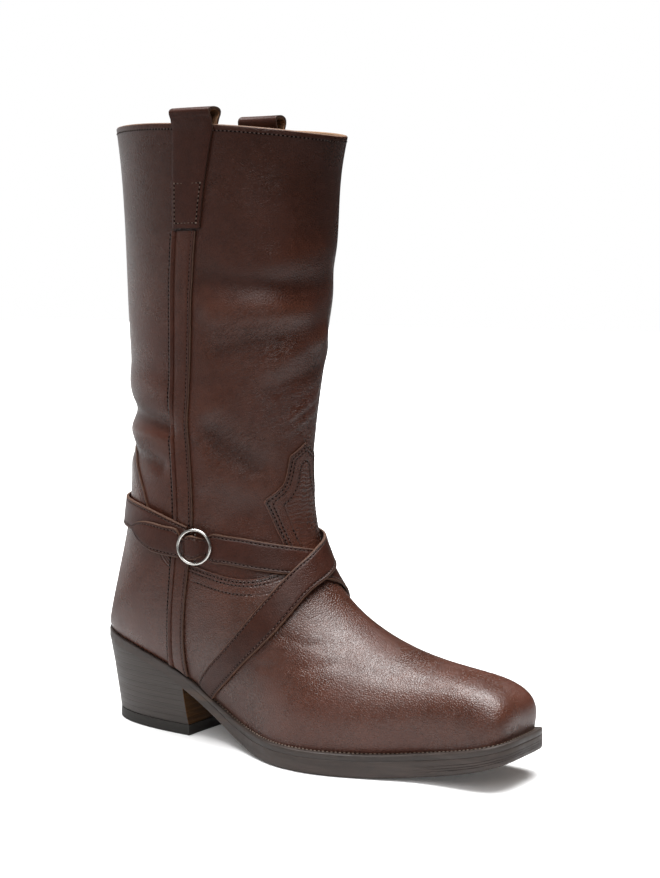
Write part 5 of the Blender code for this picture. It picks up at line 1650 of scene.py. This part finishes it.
add_upper((shaft_leather, shaft_lining, collar_edge))
vamp_looks = (vamp_leather, panel_edge, vamp_leather)
add_panel("vamp_panel", VAMP_OUTLINE, VAMP_LINE, False, vamp_looks, "vamp")
counter_looks = (counter_leather, panel_edge, counter_leather)
add_panel("counter_panel", COUNTER_OUTLINE, COUNTER_LINE, True, counter_looks, "counter")
strip_looks = (strip_leather, panel_edge, strip_leather)
INNER_ROWS = inner_strip(STRIP_ROWS)
add_band("side_strip_outer", STRIP_ROWS, STRIP_PROFILE, STRIP_EDGES, strip_looks, "side_strip_lateral")
add_band("side_strip_inner", INNER_ROWS, STRIP_PROFILE, STRIP_EDGES, strip_looks, "side_strip_medial")
strap_looks = (strap_leather, strap_edge, strap_leather)
add_band("strap_over_instep", OVER_ROWS, STRAP_PROFILE, STRAP_EDGES, strap_looks, "strap_over")
add_band("strap_with_tab", UNDER_ROWS, STRAP_PROFILE, STRAP_EDGES, strap_looks, "strap_under")
loop_looks = (loop_leather, loop_edge, loop_lining)
add_loop("pull_loop_outer", -1.0, loop_looks, "pull_loop_lateral")
add_loop("pull_loop_inner", 1.0, loop_looks, "pull_loop_medial")
add_ring(ring_metal)
add_outsole((outsole_edge, outsole_floor, outsole_edge))
add_welt(welt_edge)
add_heel((heel_side, heel_breast), (wear_rubber,))

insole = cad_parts["insole"]
insole.data.materials.clear()
insole.data.materials.append(insole_lining)

upper_rows = outline_rows(VAMP_LINE, VAMP_OUTLINE, [-seam for seam in VAMP_SEAMS], False, STITCH_PITCH)
upper_rows += outline_rows(COUNTER_LINE, COUNTER_OUTLINE, COUNTER_SEAMS, True, STITCH_PITCH)
for rows, turn in ((STRIP_ROWS, 1.0), (INNER_ROWS, -1.0)):
    on_strip = rows[:, 4] + STRIP_SEAM_LIFT
    beside = np.maximum(rows[:, 4] - BEAD_SEAM_SINK, SEAM_LIFT)
    upper_rows.append(edge_row(rows, 2, STRIP_SEAM * turn, on_strip, STITCH_PITCH))
    upper_rows.append(edge_row(rows, 0, BEAD_SEAM * turn, beside, STITCH_PITCH))
collar_girth = np.linspace(-1.0, 1.0, 400)
collar_place = np.full(len(collar_girth), COLLAR_PLACE - COLLAR_SEAM)
upper_rows.append(stitches_on(collar_place, collar_girth, COLLAR_SEAM_LIFT, STITCH_PITCH))
strap_rows = band_rows(OVER_ROWS, STRAP_SEAM, STRAP_SEAM_LIFT, STITCH_PITCH)
strap_rows += band_rows(UNDER_ROWS, STRAP_SEAM, STRAP_SEAM_LIFT, STITCH_PITCH)
loop_rows = loop_box(-1.0, STITCH_PITCH) + loop_box(1.0, STITCH_PITCH)
welt_rows = [welt_row(WELT_SEAM, WELT_SEAM_START, STITCH_PITCH)]
add_stitches("upper_stitches", upper_rows, STITCH_LENGTH, STITCH_RADIUS, brown_thread)
add_stitches("strap_stitches", strap_rows, STITCH_LENGTH, STITCH_RADIUS, strap_thread)
add_stitches("loop_stitches", loop_rows, STITCH_LENGTH, STITCH_RADIUS, loop_thread)
add_stitches("welt_stitches", welt_rows, STITCH_LENGTH, WELT_STITCH_RADIUS, welt_thread)
# needle holes: black beads of painted shade between the stitches
hole_rows = holes_between(upper_rows + strap_rows + loop_rows + welt_rows, 1.5 * STITCH_PITCH)
add_stitches("painted_hole_shade_beads", hole_rows, HOLE_LENGTH, HOLE_RADIUS, painted_hole_shade, HOLE_RISE)

# Floor, light and camera

# floor: half its side in metres, its tone, and the tone of its deepest shadow
FLOOR_HALF = 6.0
FLOOR_TONE = 0.94
SHADOW_TONE = 0.07
# tone of what the floor gives back to the boot: beside it and far away, and the metres it fades over
POOL_TONE = 0.52
POOL_END_TONE = 0.03
POOL_FADE = (0.10, 0.70)
# the same far behind the heel, and the x it fades over
BEHIND_TONE = 0.4
BEHIND_FADE = (-1.2, -0.5)
# studio lights: direction, nearness to it where the light starts and where it is full, strength
LIGHTS = (
    ("wide softbox overhead", (-0.05, 0.09, 1.0), 0.82, 0.965, 11.5),
    ("pale wall behind the heel", (-0.95, 0.28, 0.02), 0.72, 0.96, 0.7),
    ("small light from the left front", (0.30, -0.70, 0.68), 0.91, 0.985, 3.0),
    ("wide weak light from the outer side", (-0.35, -0.90, 0.25), 0.0, 0.95, 0.14),
)
DIM_REST = 0.03
CAMERA_PLACE = (0.5585, -0.7736, 0.2645)
CAMERA_TURN = (84.44, 0.0, 35.0)
CAMERA_LENS = 71.14
CAMERA_SENSOR = 36.0
BLACK = (0.0, 0.0, 0.0)
WHITE = (1.0, 1.0, 1.0)


def add_floor():
    """Plain pale floor: white to the camera, with shadows no darker than their tone; what it gives back
    to the boot fades away from it and rises again far behind the heel."""
    make = Finish("floor", Roughness=0.9, Emission_Strength=1.0)
    away = make.node("ShaderNodeVectorMath", {"operation": "LENGTH"}, {0: make.here}).outputs["Value"]
    pool = make.step(away, *POOL_FADE, POOL_TONE, POOL_END_TONE)
    pool = pool + make.step(make.axis("X"), *BEHIND_FADE, BEHIND_TONE, 0.0)
    seen = Value(make, make.node("ShaderNodeLightPath").outputs["Is Camera Ray"])
    tone = seen * FLOOR_TONE + (1.0 - seen) * pool
    glow = make.mixed(seen * SHADOW_TONE, BLACK, WHITE)
    make.done(Base_Color=make.mixed(tone, BLACK, WHITE), Emission_Color=glow)
    mesh = bpy.data.meshes.new("floor")
    corners = [(x * FLOOR_HALF, y * FLOOR_HALF, 0.0) for x, y in ((-1, -1), (1, -1), (1, 1), (-1, 1))]
    mesh.from_pydata(corners, [], [(0, 1, 2, 3)])
    mesh.materials.append(make.material)
    floor = bpy.data.objects.new("floor", mesh)
    bpy.context.scene.collection.objects.link(floor)


def set_studio():
    """Studio light by direction, dim away from the lights. The camera itself sees plain white."""
    world = bpy.data.worlds.new("studio")
    bpy.context.scene.world = world
    world.use_nodes = True
    make = Nodes(world.node_tree)
    toward = make.node("ShaderNodeTexCoord").outputs["Generated"]
    light = DIM_REST
    for _, direction, start, full, strength in LIGHTS:
        light = light + make.step(make.along(toward, direction), start, full) * strength
    seen = Value(make, make.node("ShaderNodeLightPath").outputs["Is Camera Ray"])
    back = world.node_tree.nodes["Background"]
    make.feed(back.inputs["Color"], (*WHITE, 1.0))
    make.feed(back.inputs["Strength"], seen + (1.0 - seen) * light)


def add_camera():
    """Camera at the photograph's place and angle."""
    lens = bpy.data.cameras.new("camera")
    lens.lens = CAMERA_LENS
    lens.sensor_width = CAMERA_SENSOR
    lens.dof.use_dof = False
    camera = bpy.data.objects.new("camera", lens)
    camera.location = CAMERA_PLACE
    camera.rotation_euler = tuple(map(math.radians, CAMERA_TURN))
    bpy.context.scene.collection.objects.link(camera)
    bpy.context.scene.camera = camera


add_floor()
set_studio()
add_camera()
bpy.context.scene.view_settings.view_transform = "Standard"
